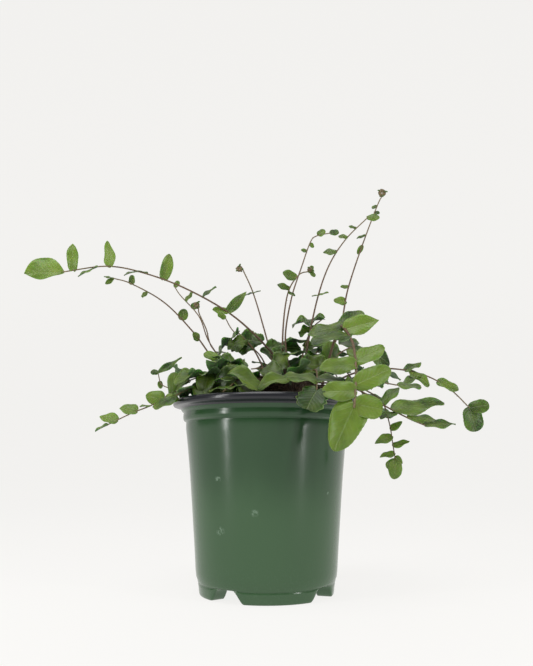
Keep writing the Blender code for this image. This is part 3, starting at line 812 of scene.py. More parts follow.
@dataclass
class PottingMix:
    """The potting mix: a low mound of crumbs, bark and a little white grit."""

    edge: float = 101.0
    rise: float = 10.5
    radius: float = 48.4
    crumb_density: float = 420000.0  # crumbs on a square metre
    largest: float = 1.25  # the largest bit's size against its kind's
    lean: float = 1.2  # how far a bit leans, in radians
    segments: int = 160
    mound_rings: int = 30
    mound_step: float = 1.6
    open_from: float = 99.9  # the height from which a point is open ground
    bottom: float = 8.4
    side: tuple = (
        (30.5, 8.4), (37.0, 8.6), (39.0, 10.8), (40.2, 13.6), (42.3, 39.4), (44.6, 67.0), (47.4, 94.5),
        (48.2, 99.5),
    )

    def top(self, x: float, y: float) -> float:
        """The mound's height at a place."""
        share = min(1.0, math.hypot(x, y) / self.radius)
        rough = 0.9 * lumps(Vector((x, y, 0)), 3.1, 1.0) + 0.5 * lumps(Vector((x, y, 0)), 1.3, 4.0)
        return self.edge + self.rise * (1.0 - share * share) + rough * (1.0 - share**6) - 0.6

    def ring(self, radius: float, height: float | None = None) -> list:
        """A level ring of the mix, or one that lies on the mound where no height is given."""
        level = circle(radius, height or 0.0, self.segments)
        return level if height is not None else [(x, y, self.top(x, y)) for x, y, _ in level]

    def build(self, earth: Material, bits: dict[str, Material]) -> Piece:
        """Builds the mix and lays its crumbs.

        Args:
            earth: The mix's material.
            bits: The materials of its crumbs, bark and grit.

        Returns:
            The mix.
        """
        rings = [[(0.0, 0.0, self.bottom)], *[self.ring(r, z) for r, z in self.side]]
        rings += [self.ring(self.radius - self.mound_step * k) for k in range(self.mound_rings)]
        rings.append([(0.0, 0.0, self.top(0.0, 0.0))])
        points, faces = ringed(rings)
        skin = Skin()
        skin.add(points, faces, surface=[1.0 if p[2] > self.open_from else 0.0 for p in points])
        mix = skin.piece("potting_mix_bed", [earth])
        outward(mix)
        self.crumbs(bits).run(mix)
        return mix

    def crumbs(self, bits: dict[str, Material]) -> GrowthBench:
        """The tree that lays crumbs on the mound.

        Args:
            bits: The materials of the crumbs, bark and grit.

        Returns:
            The bench that holds the tree.
        """
        bench = GrowthBench("mix_crumbs", {
            "Crumb size": ("NodeSocketFloat", 0.00075),
            "Bark size": ("NodeSocketFloat", 0.0011),
            "Grit size": ("NodeSocketFloat", 0.0008),
        })
        covered = bench.compared("LESS_THAN", bench.stored("surface"), 0.99)
        sockets = {"Geometry": bench.start.outputs[0], "Selection": covered}
        ground = bench.node("GeometryNodeDeleteGeometry", {"domain": "FACE"}, sockets).outputs[0]
        # each kind's stretch, least size, share of the crumbs' density, and seed
        kinds = {
            "Crumb size": ((1.0, 0.9, 0.75), 0.45, 1.0, 3),
            "Bark size": ((2.0, 0.9, 0.4), 0.35, 0.20, 23),
            "Grit size": ((1.0, 1.0, 0.9), 0.4, 0.028, 43),
        }
        parts = []
        for label, (stretch, least, share, seed) in kinds.items():
            sockets = {"Radius": bench.given(label), "Subdivisions": 1}
            ball = bench.node("GeometryNodeMeshIcoSphere", None, sockets).outputs[0]
            bit = bench.node("GeometryNodeTransform", None, {"Geometry": ball, "Scale": stretch}).outputs[0]
            density = share * self.crumb_density
            size = bench.chance(least, self.largest, seed + 5)
            parts.append(bench.scattered(ground, bit, density, 1.0, seed, size, self.lean, bits[label]))
        bench.close(bench.start.outputs[0], *parts)
        return bench


@dataclass
class CrownClump:
    """The woody crown: a lumpy clump with old stubs, covered in brown scales and wiry roots."""

    centre: tuple = (6.0, 0.0)
    half: tuple = (33.0, 20.0)
    rise: float = 13.0
    segments: int = 96
    dome_rings: int = 15
    skirt: tuple = ((0.5, -1.0), (0.94, -1.0), (1.0, 0.6), (1.0, 2.2), (0.94, 4.0))
    stubs: int = 26
    stub_sides: int = 7
    stub_radii: tuple = (1.0, 0.9, 0.8, 0.7)
    stub_stray: float = 0.4
    seed: int = 5

    def build(self, ground: PottingMix, wood: Material, hair: Material) -> Piece:
        """Builds the crown on the mound.

        Args:
            ground: The mound that it lies on.
            wood: The clump's material.
            hair: The scales' material.

        Returns:
            The crown.
        """
        rings = [[(*self.centre, self.height(ground, *self.centre, 0.0) - 1.0)]]
        rings += [self.ring(ground, share, lift) for share, lift in self.skirt]
        shoulder, start = self.skirt[-1]
        for step in range(1, self.dome_rings):
            share = shoulder * (1.0 - step / self.dome_rings)
            dome = math.sqrt(1.0 - share * share)
            rings.append(self.ring(ground, share, start + (self.rise - start) * dome))
        rings.append([(*self.centre, self.height(ground, *self.centre, self.rise))])
        skin = Skin()
        skin.add(*ringed(rings))
        self.add_stubs(skin, ground)
        crown = skin.piece("crown_clump", [wood])
        outward(crown)
        self.scales(hair).run(crown)
        return crown

    def height(self, ground: PottingMix, x: float, y: float, lift: float) -> float:
        """The clump's height at a place, for a lift above the mound."""
        bumpy = 1.0 + 0.22 * math.sin(0.55 * x + 0.4) * math.cos(0.61 * y + 0.3)
        share = min(1.0, math.hypot(x, y) / ground.radius)
        base = ground.edge + ground.rise * (1.0 - share * share) + 0.35
        return base + lift * bumpy + 0.35 * lumps(Vector((x, y, lift)), 1.6, 2.0) * (lift > 0)

    def ring(self, ground: PottingMix, share: float, lift: float) -> list:
        """One ring of the clump.

        Args:
            ground: The mound.
            share: Its size against the clump's outline.
            lift: Its height above the mound.

        Returns:
            Its points.
        """
        made = []
        for step in range(self.segments):
            turn = 2.0 * math.pi * step / self.segments
            wave = 1.0 + 0.05 * math.sin(3.0 * turn + 0.6) + 0.04 * math.sin(7.0 * turn)
            x = self.centre[0] + self.half[0] * share * wave * math.cos(turn)
            y = self.centre[1] + self.half[1] * share * wave * math.sin(turn)
            made.append((x, y, self.height(ground, x, y, lift)))
        return made

    def add_stubs(self, skin: Skin, ground: PottingMix) -> None:
        """Adds the stubs of old stems.

        Args:
            skin: The mesh under construction.
            ground: The mound.
        """
        dice = random.Random(self.seed)
        for _ in range(self.stubs):
            share = math.sqrt(dice.random()) * 0.85
            turn = dice.uniform(0.0, 2.0 * math.pi)
            x = self.centre[0] + self.half[0] * share * math.cos(turn)
            y = self.centre[1] + self.half[1] * share * math.sin(turn)
            base = Vector((x, y, self.height(ground, x, y, 3.0)))
            stray = [dice.uniform(-self.stub_stray, self.stub_stray) for _ in range(2)]
            lean = Vector((0.5 * math.cos(turn) + stray[0], 0.5 * math.sin(turn) + stray[1], 1.0))
            lean.normalize()
            path = [base + lean * (step * dice.uniform(3.2, 4.2)) for step in range(len(self.stub_radii))]
            skin.add(*ringed(tube_rings(path, self.stub_radii, self.stub_sides)))

    def scales(self, hair: Material) -> GrowthBench:
        """The tree that covers the clump in scales and root hairs.

        Args:
            hair: Their material.

        Returns:
            The bench that holds the tree.
        """
        bench = GrowthBench("crown_scales", {
            "Scale length": ("NodeSocketFloat", 0.0032),
            "Root length": ("NodeSocketFloat", 0.009),
        })
        # each kind's radii, count on a square metre, seed, largest size and lean
        kinds = {
            "Scale length": (0.00002, 0.00022, 900000.0, 7, 1.1, 1.3),
            "Root length": (0.00008, 0.00026, 50000.0, 17, 1.0, 1.5),
        }
        parts = []
        for label, (top, foot, density, seed, largest, lean) in kinds.items():
            cone = bench.cone(4, top, foot, bench.given(label))
            size = bench.chance(0.4, largest, seed + 1)
            parts.append(bench.scattered(bench.start.outputs[0], cone, density, 1.0, seed, size, lean, hair))
        bench.close(bench.start.outputs[0], *parts)
        return bench


# Leaflets and stems


def tube_rings(path: list, radii: list | tuple, sides: int) -> list:
    """Rings of a tube along a path.

    Args:
        path: Its points.
        radii: Its radius at each point.
        sides: How many points a ring has.

    Returns:
        The rings.
    """
    across = Vector((1.0, 0.13, 0.0))
    rings = []
    for i, point in enumerate(path):
        along = (path[min(i + 1, len(path) - 1)] - path[max(i - 1, 0)]).normalized()
        across = (across - along * across.dot(along)).normalized()
        side = along.cross(across)
        flat = [(u, v) for u, v, _ in circle(radii[i], 0.0, sides)]
        rings.append([tuple(point + across * u + side * v) for u, v in flat])
    return rings


@dataclass(frozen=True)
class BladeShape:
    """How a leaflet's blade is drawn and bent. Sizes are shares of its length or half width."""

    rise: float = 0.40  # roundness at the base: lower is fuller
    fall: float = 0.50  # roundness at the tip
    lobe: float = 0.05  # how far the base reaches back beside the stalk
    fold: float = 0.10  # how far the halves rise from the midrib
    cup: float = 0.12  # how far the margins bend down
    ripple: float = 0.05  # how deep the margins wave
    ripples: float = 1.5  # how many waves a margin has
    curl: float = 0.10  # how far the tip droops
    sway: float = 0.03  # how far the tip bends sideways
    teeth: float = 0.02  # how deep the margin's teeth are
    tooth_count: float = 11.0
    skew: float = 0.0  # how much fuller one half is than the other


class LeafForm(Enum):
    """The kinds of leaflet on the plant."""

    OVAL = BladeShape()
    ROUND = BladeShape(rise=0.40, fall=0.38, lobe=0.07, fold=0.06, cup=0.14)
    SPOON = BladeShape(rise=0.62, fall=0.36, fold=0.08)
    KITE = BladeShape(rise=0.27, fall=0.60, lobe=0.12, fold=0.05, cup=0.16, sway=0.0, teeth=0.014)
    SPEAR = BladeShape(rise=0.45, fall=0.85, fold=0.12, cup=0.05, sway=0.05)
    SLIM = BladeShape(rise=0.45, fall=0.62, fold=0.22, cup=0.04, sway=0.05)
    WAVY = BladeShape(
        rise=0.42, fall=0.40, lobe=0.10, fold=0.16, cup=0.02, ripple=0.13, ripples=1.7, curl=0.16, teeth=0.05,
    )
    EASY = BladeShape(rise=0.44, fall=0.46, lobe=0.08, cup=0.08, ripple=0.055, ripples=1.6, curl=0.12)
    WING = BladeShape(rise=0.85, fall=0.80, fold=0.10, cup=0.08, curl=0.02, sway=0.0, teeth=0.01, skew=0.46)
    LOBED = BladeShape(rise=0.34, fall=0.30, lobe=0.14, fold=0.04, cup=0.10, teeth=0.09, tooth_count=5.0)
    FOLDED = BladeShape(
        rise=0.42, fall=0.46, lobe=0.06, fold=0.55, cup=0.05, ripple=0.08, ripples=1.3, curl=0.2,
    )


@dataclass(frozen=True)
class Leaflet:
    """One leaflet of a frond: where it grows, which way it points and looks, and its size in millimetres."""

    share: float
    aim: tuple
    face: tuple
    length: float
    width: float
    form: LeafForm | None = None
    tone: float | None = None


@dataclass
class Blade:
    """A leaflet in its place, ready to be drawn."""

    base: Vector
    aim: Vector
    face: Vector
    length: float
    width: float
    shape: BladeShape
    tone: float
    age: float = 0.0
    thick: float = 0.32

    rows_per_mm = 2.0
    fewest_rows = 12
    most_rows = 40
    broad = 7.0  # the width from which a row has more points
    spreading = 0.85  # under 1 draws a row's points toward the margins
    thinning = 0.6  # how much thinner the margins are
    groove = 0.18  # how deep the midrib lies in the upper side
    ridge = 0.16  # how far the midrib stands out below
    midrib = 0.12  # the midrib's half width, as a share

    def outline(self, share: float) -> float:
        """Half the blade's width at a share of its length, as a share of its greatest."""
        a, b = self.shape.rise, self.shape.fall
        share = min(0.9985, max(0.0015, share))
        peak = (a / (a + b)) ** a * (b / (a + b)) ** b
        return share**a * (1.0 - share) ** b / peak

    def draw(self, skin: Skin, dice: random.Random) -> None:
        """Adds the blade to a mesh.

        Args:
            skin: The mesh under construction.
            dice: The source of its small differences.
        """
        shape = self.shape
        long_steps = max(self.fewest_rows, min(self.most_rows, round(self.length * self.rows_per_mm)))
        wide_steps = 8 if self.width > self.broad else 6
        face = (self.face - self.aim * self.face.dot(self.aim)).normalized()
        side = self.aim.cross(face)
        half = 0.5 * self.width
        phase = [dice.uniform(0.0, 6.28) for _ in range(4)]
        bow = shape.sway * dice.choice((-1.0, 1.0))
        top, under, spread = [], [], []
        for i in range(long_steps + 1):
            share = 0.5 * (1.0 - math.cos(math.pi * i / long_steps))
            wide = half * self.outline(share)
            droop = shape.curl * self.length * share**2.4
            for k in range(wide_steps + 1):
                u = 2.0 * k / wide_steps - 1.0
                u = math.copysign(abs(u) ** self.spreading, u)
                hand = 0 if u < 0 else 1
                tooth = math.sin(TURN * shape.tooth_count * share + phase[hand])
                wave = math.sin(TURN * shape.ripples * share + phase[2 + hand])
                rib = math.exp(-(u / self.midrib) ** 2)
                x = u * wide * (1.0 + shape.teeth * tooth * abs(u) ** 3)
                x = x * (1.0 + shape.skew * math.copysign(1.0, u)) + bow * self.length * share * share
                y = self.length * share - shape.lobe * self.length * (u * u) * (1.0 - share) ** 2
                z = shape.fold * abs(u) * wide - shape.cup * u * u * wide - droop
                z += shape.ripple * self.length * abs(u) ** 2.2 * wave - self.groove * rib
                centre = self.base + side * x + self.aim * y + face * z
                thick = 0.5 * self.thick * (1.0 - self.thinning * u * u)
                top.append(tuple(centre + face * thick))
                under.append(tuple(centre - face * (thick + self.ridge * rib)))
                spread.append((0.5 + 0.5 * u, share))
        self.stitch(skin, top, under, spread, wide_steps)

    def stitch(self, skin: Skin, top: list, under: list, spread: list, wide_steps: int) -> None:
        """Joins the blade's two sides into a closed sheet.

        Args:
            skin: The mesh under construction.
            top: The upper side's points, row by row.
            under: The underside's points.
            spread: UV of each point of a side.
            wide_steps: Points in a row less one.
        """
        row = wide_steps + 1
        count = len(top)
        long_steps = count // row - 1
        faces = []
        for i in range(long_steps):
            for k in range(wide_steps):
                a, b = i * row + k, i * row + k + 1
                c, d = b + row, a + row
                faces.append((a, b, c, d))
                faces.append((d + count, c + count, b + count, a + count))
        rim = list(range(row))
        rim += [i * row + wide_steps for i in range(1, long_steps + 1)]
        rim += [long_steps * row + k for k in range(wide_steps - 1, -1, -1)]
        rim += [i * row for i in range(long_steps - 1, 0, -1)]
        for a, b in zip(rim, rim[1:] + rim[:1]):
            faces.append((b, a, a + count, b + count))
        marks = {"tone": self.tone, "age": self.age, "under": [0.0] * count + [1.0] * count}
        skin.add(top + under, faces, 0, spread * 2, **marks)


class Growth:
    """What has grown so far in the part, so that each leaflet takes the same room here as there."""

    turns = (0, 25, -25, 50, -50, 75, -75)
    sizes = (1.0, 0.85, 0.7, 0.55)
    small = 8.0  # the length under which a leaflet's solid has one section less
    foot = 1.5  # how far from its own stem a leaflet starts to keep clear of others
    spare_length = 1.0
    spare_width = 0.6
    thick = 0.45  # half a leaflet's thickness
    clear_thick = 0.8  # half the thickness of the room that it keeps clear

    def __init__(self, obstacles: list) -> None:
        """Starts from the pot, the mix and the crown, given as points in millimetres and faces."""
        self.taken = [("ground", self.tree(*shape), None) for shape in obstacles]

    @staticmethod
    def tree(points: list, faces: list) -> BVHTree:
        """A search tree of a shape."""
        return BVHTree.FromPolygons([Vector(p) for p in points], faces)

    def ground_under(self, x: float, y: float) -> float:
        """The height of the highest surface under a place."""
        above, down = Vector((x, y, 200.0)), Vector((0, 0, -1))
        hits = [tree.ray_cast(above, down)[0] for owner, tree, _ in self.taken if owner == "ground"]
        return max(hit.z for hit in hits if hit is not None)

    def free(self, shape: tuple, owner: str, skipped: tuple) -> bool:
        """Whether a shape touches nothing.

        Args:
            shape: Its points and faces.
            owner: The frond that it belongs to.
            skipped: Kinds of the owner's own shapes that don't count.

        Returns:
            True where it is free.
        """
        tree = self.tree(*shape)
        others = [placed for other, placed, kind in self.taken if other != owner or kind not in skipped]
        return not any(tree.overlap(placed) for placed in others)

    def take(self, shape: tuple, owner: str, kind: str) -> None:
        """Keeps a shape's room."""
        self.taken.append((owner, self.tree(*shape), kind))

    def plain_leaflet(
        self, base: Vector, aim: Vector, face: Vector, length: float, width: float, thick: float
    ) -> tuple:
        """The simple solid of a leaflet.

        Args:
            base: Where it starts.
            aim: The way it points.
            face: The way its upper side looks.
            length: Its length.
            width: Its width.
            thick: Half its thickness.

        Returns:
            Its points and faces.
        """
        aim = Vector(aim).normalized()
        face = Vector(face)
        face = face - aim * face.dot(aim)
        face = face.normalized() if face.length > 0.05 else aim.orthogonal().normalized()
        side = aim.cross(face)
        half = 0.5 * width
        # each section's share of the length, half width and half thickness
        stalk = (-0.02, 0.35, 0.3)
        sections = (stalk, (0.24, 0.86 * half, thick), (0.62, half, thick))
        if length < self.small:
            sections = (stalk, (0.5, half, thick))
        rings = []
        for share, across, height in sections:
            centre = base + aim * (length * share)
            rim = centre - face * (0.10 * across)
            out, over = side * across, face * height
            rings.append([rim - out, centre + over, rim + out, centre - over])
        rings.append([base + aim * length - face * (0.06 * length)])
        points, whole = ringed(rings)
        faces = []
        for corners in whole:
            faces += [corners] if len(corners) == 3 else [corners[:3], (corners[0], *corners[2:])]
        return points, faces

    def fitted(self, owner: str, base: Vector, along: Vector, leaf: Leaflet) -> tuple | None:
        """Finds room for a leaflet.

        Args:
            owner: Its frond.
            base: Where it starts.
            along: The stem's direction there.
            leaf: The leaflet.

        Returns:
            The way it points, the way it looks, and its size, or None where there is no room.
        """
        for size in self.sizes:
            length, width = size * leaf.length, size * leaf.width
            for turn in self.turns:
                spin = Matrix.Rotation(math.radians(turn), 3, along)
                lean = Vector(leaf.aim).normalized()
                lean.rotate(spin)
                look = Vector(leaf.face).normalized()
                look.rotate(spin)
                grown = self.plain_leaflet(base, lean, look, length, width, self.thick)
                room = self.plain_leaflet(
                    base + lean * self.foot, lean, look, length - self.spare_length, width + self.spare_width,
                    self.clear_thick,
                )
                if self.free(room, owner, ("stem",)) and self.free(grown, owner, ("stem", "leaflet")):
                    self.take(grown, owner, "leaflet")
                    return lean, look, size
        return None


def smooth_curve(knots: list, step: float, least: int) -> list:
    """Points evenly spaced along a smooth curve through the knots.

    Args:
        knots: The points that it passes.
        step: The spacing wanted.
        least: The fewest steps.

    Returns:
        The points.
    """
    knots = [Vector(k) for k in knots]
    ends = [2 * knots[0] - knots[1], *knots, 2 * knots[-1] - knots[-2]]
    parts = 24
    fine = []
    for a, b, c, d in zip(ends, ends[1:], ends[2:], ends[3:]):
        square = 2 * a - 5 * b + 4 * c - d
        cube = 3 * b - a - 3 * c + d
        for part in range(parts):
            t = part / parts
            fine.append(0.5 * (2 * b + (c - a) * t + square * t * t + cube * t**3))
    fine.append(knots[-1])
    lengths = [0.0]
    for a, b in zip(fine, fine[1:]):
        lengths.append(lengths[-1] + (b - a).length)
    steps = max(least, round(lengths[-1] / step))
    even = []
    at = 0
    for number in range(steps + 1):
        wanted = lengths[-1] * number / steps
        while at < len(fine) - 2 and lengths[at + 1] < wanted:
            at += 1
        share = (wanted - lengths[at]) / max(1e-9, lengths[at + 1] - lengths[at])
        even.append(fine[at].lerp(fine[at + 1], min(1.0, share)))
    return even


@dataclass
class FrondLook:
    """How one frond's leaflets and stem look."""

    form: LeafForm = LeafForm.OVAL
    end_form: LeafForm = LeafForm.ROUND
    # the tone is partly painted light and shade: lighter for fronds in front, darker deep in the canopy
    tone: float = 0.55
    age: float = 0.1
    stem_foot: float = 0.62
    stem_tip: float = 0.30
    crozier: float = 0.0


@dataclass
class Frond:
    """One frond: a wiry stem along its knots, with its leaflets and, on a young one, a curled tip."""

    name: str
    knots: tuple
    leaflets: tuple
    look: FrondLook
    seed: int = 0
    gap: float = 0.35
    coarse: list = field(default_factory=list)
    fine: list = field(default_factory=list)
    blades: list = field(default_factory=list)

    upright = 2.5  # how far the stem rises straight from its foot
    solid_foot = 0.95  # the radii of the part's stem at its foot and tip
    solid_tip = 0.5
    foot_girth = 1.22  # how much fuller the dressed stem is at its foot and tip
    tip_girth = 1.25
    swelling = 0.45  # how much the lowest rings of the stem swell
    swollen = 4
    curl_steps = 26
    curl_turns = 1.55
    curl_size = 0.62  # the curl's outer radius against the look's
    curl_closing = 0.72

    def lay_stem(self, growth: Growth) -> None:
        """Lays the stem from the crown up along its knots."""
        x, y = self.knots[0][:2]
        near = (-0.9, -0.45, 0.0, 0.45, 0.9)
        ground = max(growth.ground_under(x + dx, y + dy) for dx in near for dy in near)
        foot = Vector((x, y, ground + self.gap))
        straight = foot + Vector((0, 0, self.upright))
        knots = [foot, straight, *self.knots[1:]]
        self.coarse = smooth_curve(knots, 13.0, 5)
        self.coarse.insert(1, foot.lerp(straight, 0.6))
        self.fine = smooth_curve([foot - Vector((0, 0, 2.0)), *knots], 2.0, 12)
        count = len(self.coarse) - 1
        taper = self.solid_tip - self.solid_foot
        radii = [self.solid_foot + taper * i / count for i in range(count + 1)]
        points, faces = ringed(tube_rings(self.coarse, radii, 5))
        growth.take((points, faces), self.name, "stem")

    def place(self, share: float) -> tuple[Vector, Vector, Vector]:
        """A place on the stem.

        Args:
            share: The share of its length.

        Returns:
            The part's point, the stem's direction there, and the nearest point of the finer stem.
        """
        spot = share * (len(self.coarse) - 1)
        at = min(len(self.coarse) - 2, int(spot))
        point = self.coarse[at].lerp(self.coarse[at + 1], spot - at)
        along = (self.coarse[at + 1] - self.coarse[at]).normalized()
        nearest = self.fine[-1] if share >= 1.0 else min(self.fine, key=lambda p: (p - point).length)
        return point, along, nearest

    def lay_leaflets(self, growth: Growth) -> None:
        """Finds room for every leaflet, as the part does."""
        dice = random.Random(self.seed)
        for leaf in self.leaflets:
            point, along, nearest = self.place(leaf.share)
            found = growth.fitted(self.name, point, along, leaf)
            if found is None:
                continue
            aim, face, size = found
            form = leaf.form or (self.look.end_form if leaf.share >= 0.99 else self.look.form)
            tone = (self.look.tone if leaf.tone is None else leaf.tone) + dice.uniform(-0.14, 0.14)
            shape = replace(
                form.value,
                fold=form.value.fold + dice.uniform(-0.06, 0.10),
                curl=form.value.curl + dice.uniform(-0.08, 0.08),
                tooth_count=form.value.tooth_count + dice.uniform(-1.5, 1.5),
            )
            length = size * leaf.length * 0.99
            width = size * leaf.width
            age = self.look.age * dice.random() * 2.0
            self.blades.append(Blade(nearest, aim, face, length, width, shape, tone, age))

    def stalks(self, skin: Skin) -> None:
        """Adds the leaflets' short stalks."""
        for blade in self.blades:
            face = (blade.face - blade.aim * blade.face.dot(blade.aim)).normalized()
            ways = (-0.2, 0.6, 0.12 * blade.length)
            path = [blade.base + blade.aim * way - face * 0.25 for way in ways]
            points, faces = ringed(tube_rings(path, [0.26, 0.24, 0.12], 5))
            skin.add(points, faces, 1, along=0.8)

    def crozier_path(self) -> list:
        """Points of the curled tip, from the stem's end inward."""
        radius = self.curl_size * self.look.crozier
        end = self.fine[-1]
        along = (end - self.fine[-3]).normalized()
        side = (Vector((-1.0, 0.0, 0.0)) - along * -along.x).normalized()
        middle = end + side * radius
        made = []
        for step in range(1, self.curl_steps + 1):
            turn = 2.0 * math.pi * self.curl_turns * step / self.curl_steps
            reach = radius * (1.0 - self.curl_closing * step / self.curl_steps)
            made.append(middle + (along * math.sin(turn) - side * math.cos(turn)) * reach)
        return made

    def curl_up(self, path: list, radii: list, along: list) -> None:
        """Adds the curled tip to the stem's line, and its buds to the blades.

        Args:
            path: The line's points.
            radii: Its radius at each point.
            along: Each point's share of the stem.
        """
        curl = self.crozier_path()
        count = len(curl)
        path.extend(curl)
        radii.extend([0.45 + 0.60 * math.sin(math.pi * (k + 1) / count) for k in range(count)])
        along.extend([1.0] * count)
        bud = replace(LeafForm.ROUND.value, curl=0.9, fold=0.3)
        for k in range(2, count - 4, 2):
            aim = (curl[k] - curl[-1]).normalized() * 0.7 + Vector((0.0, 1.2 * math.sin(2.1 * k), 0.0))
            base = curl[k] + aim * 0.45
            self.blades.append(Blade(base, aim.normalized(), Vector((0, -1, 0.3)), 1.15, 1.4, bud, 0.35))

    def build(self, leaf: Material, stem: Material, scale: Material) -> Piece:
        """Builds the frond as one piece.

        Args:
            leaf: The leaflets' material.
            stem: The stem's material.
            scale: The stem scales' material.

        Returns:
            The frond.
        """
        path = list(self.fine)
        along = [i / (len(path) - 1) for i in range(len(path))]
        foot, tip = self.foot_girth * self.look.stem_foot, self.tip_girth * self.look.stem_tip
        radii = [foot + (tip - foot) * share**0.7 for share in along]
        for i in range(min(self.swollen, len(path))):
            radii[i] *= 1.0 + self.swelling * (1.0 - i / self.swollen)
        if self.look.crozier:
            self.curl_up(path, radii, along)
        line = bpy.data.meshes.new(self.name + "_line")
        line.from_pydata([tuple(p * MM) for p in path], [(i, i + 1) for i in range(len(path) - 1)], [])
        for label, values in (("girth", np.array(radii) * MM), ("along", along)):
            line.attributes.new(label, "FLOAT", "POINT").data.foreach_set("value", values)
        stalk = linked(self.name + "_stem", line)
        self.stem_tree(stem, scale).run(stalk)
        skin = Skin()
        dice = random.Random(self.seed + 77)
        for blade in self.blades:
            blade.draw(skin, dice)
        self.stalks(skin)
        body = skin.piece(self.name.replace("frond_", "fern_frond_"), [leaf, stem, scale])
        return self.join(body, stalk)

    def stem_tree(self, stem: Material, scale: Material) -> GrowthBench:
        """The tree that skins the stem's line and lays its scales.

        Args:
            stem: The stem's material.
            scale: The scales' material.

        Returns:
            The bench that holds the tree.
        """
        bench = GrowthBench(self.name + "_skin", {
            "Sides": ("NodeSocketInt", 9), "Scale length": ("NodeSocketFloat", 0.00075),
        })
        line = bench.node("GeometryNodeMeshToCurve", None, {0: bench.start.outputs[0]})
        section = bench.node("GeometryNodeCurvePrimitiveCircle", None, {
            "Resolution": bench.given("Sides"), "Radius": 1.0,
        })
        skin = bench.node("GeometryNodeCurveToMesh", None, {
            "Curve": line.outputs[0], "Profile Curve": section.outputs[0], "Scale": bench.stored("girth"),
            "Fill Caps": True,
        })
        smooth = bench.node("GeometryNodeSetShadeSmooth", None, {
            "Geometry": skin.outputs[0], "Shade Smooth": True,
        })
        stalk = bench.dressed(smooth.outputs[0], stem)
        cone = bench.cone(3, 0.00001, 0.00007, bench.given("Scale length"))
        few = bench.node("ShaderNodeMapRange", None, {
            0: bench.stored("along"), 1: 0.0, 2: 0.25, 3: 1.0, 4: 0.35,
        })
        size = bench.chance(0.5, 1.2, self.seed + 4)
        bits = bench.scattered(stalk, cone, 620000.0, few.outputs[0], self.seed + 3, size, 0.7, scale)
        bench.close(stalk, bits)
        return bench

    def join(self, body: Piece, stalk: Piece) -> Piece:
        """Joins the stem to the leaflets as one mesh.

        Args:
            body: The leaflets' object, which is kept.
            stalk: The stem's object.

        Returns:
            The joined object.
        """
        bpy.ops.object.select_all(action="DESELECT")
        body.select_set(True)
        stalk.select_set(True)
        bpy.context.view_layer.objects.active = body
        bpy.ops.object.join()
        return body


# The plan of the plant

UP = (0, 0, 1)
FACING = (0, -3, 1)
SKY = (0, -1, 3)
TILT = (0, -1, 1)
F = LeafForm


def leaves(*rows: tuple) -> tuple:
    """Turns rows into leaflets."""
    return tuple(Leaflet(*row) for row in rows)


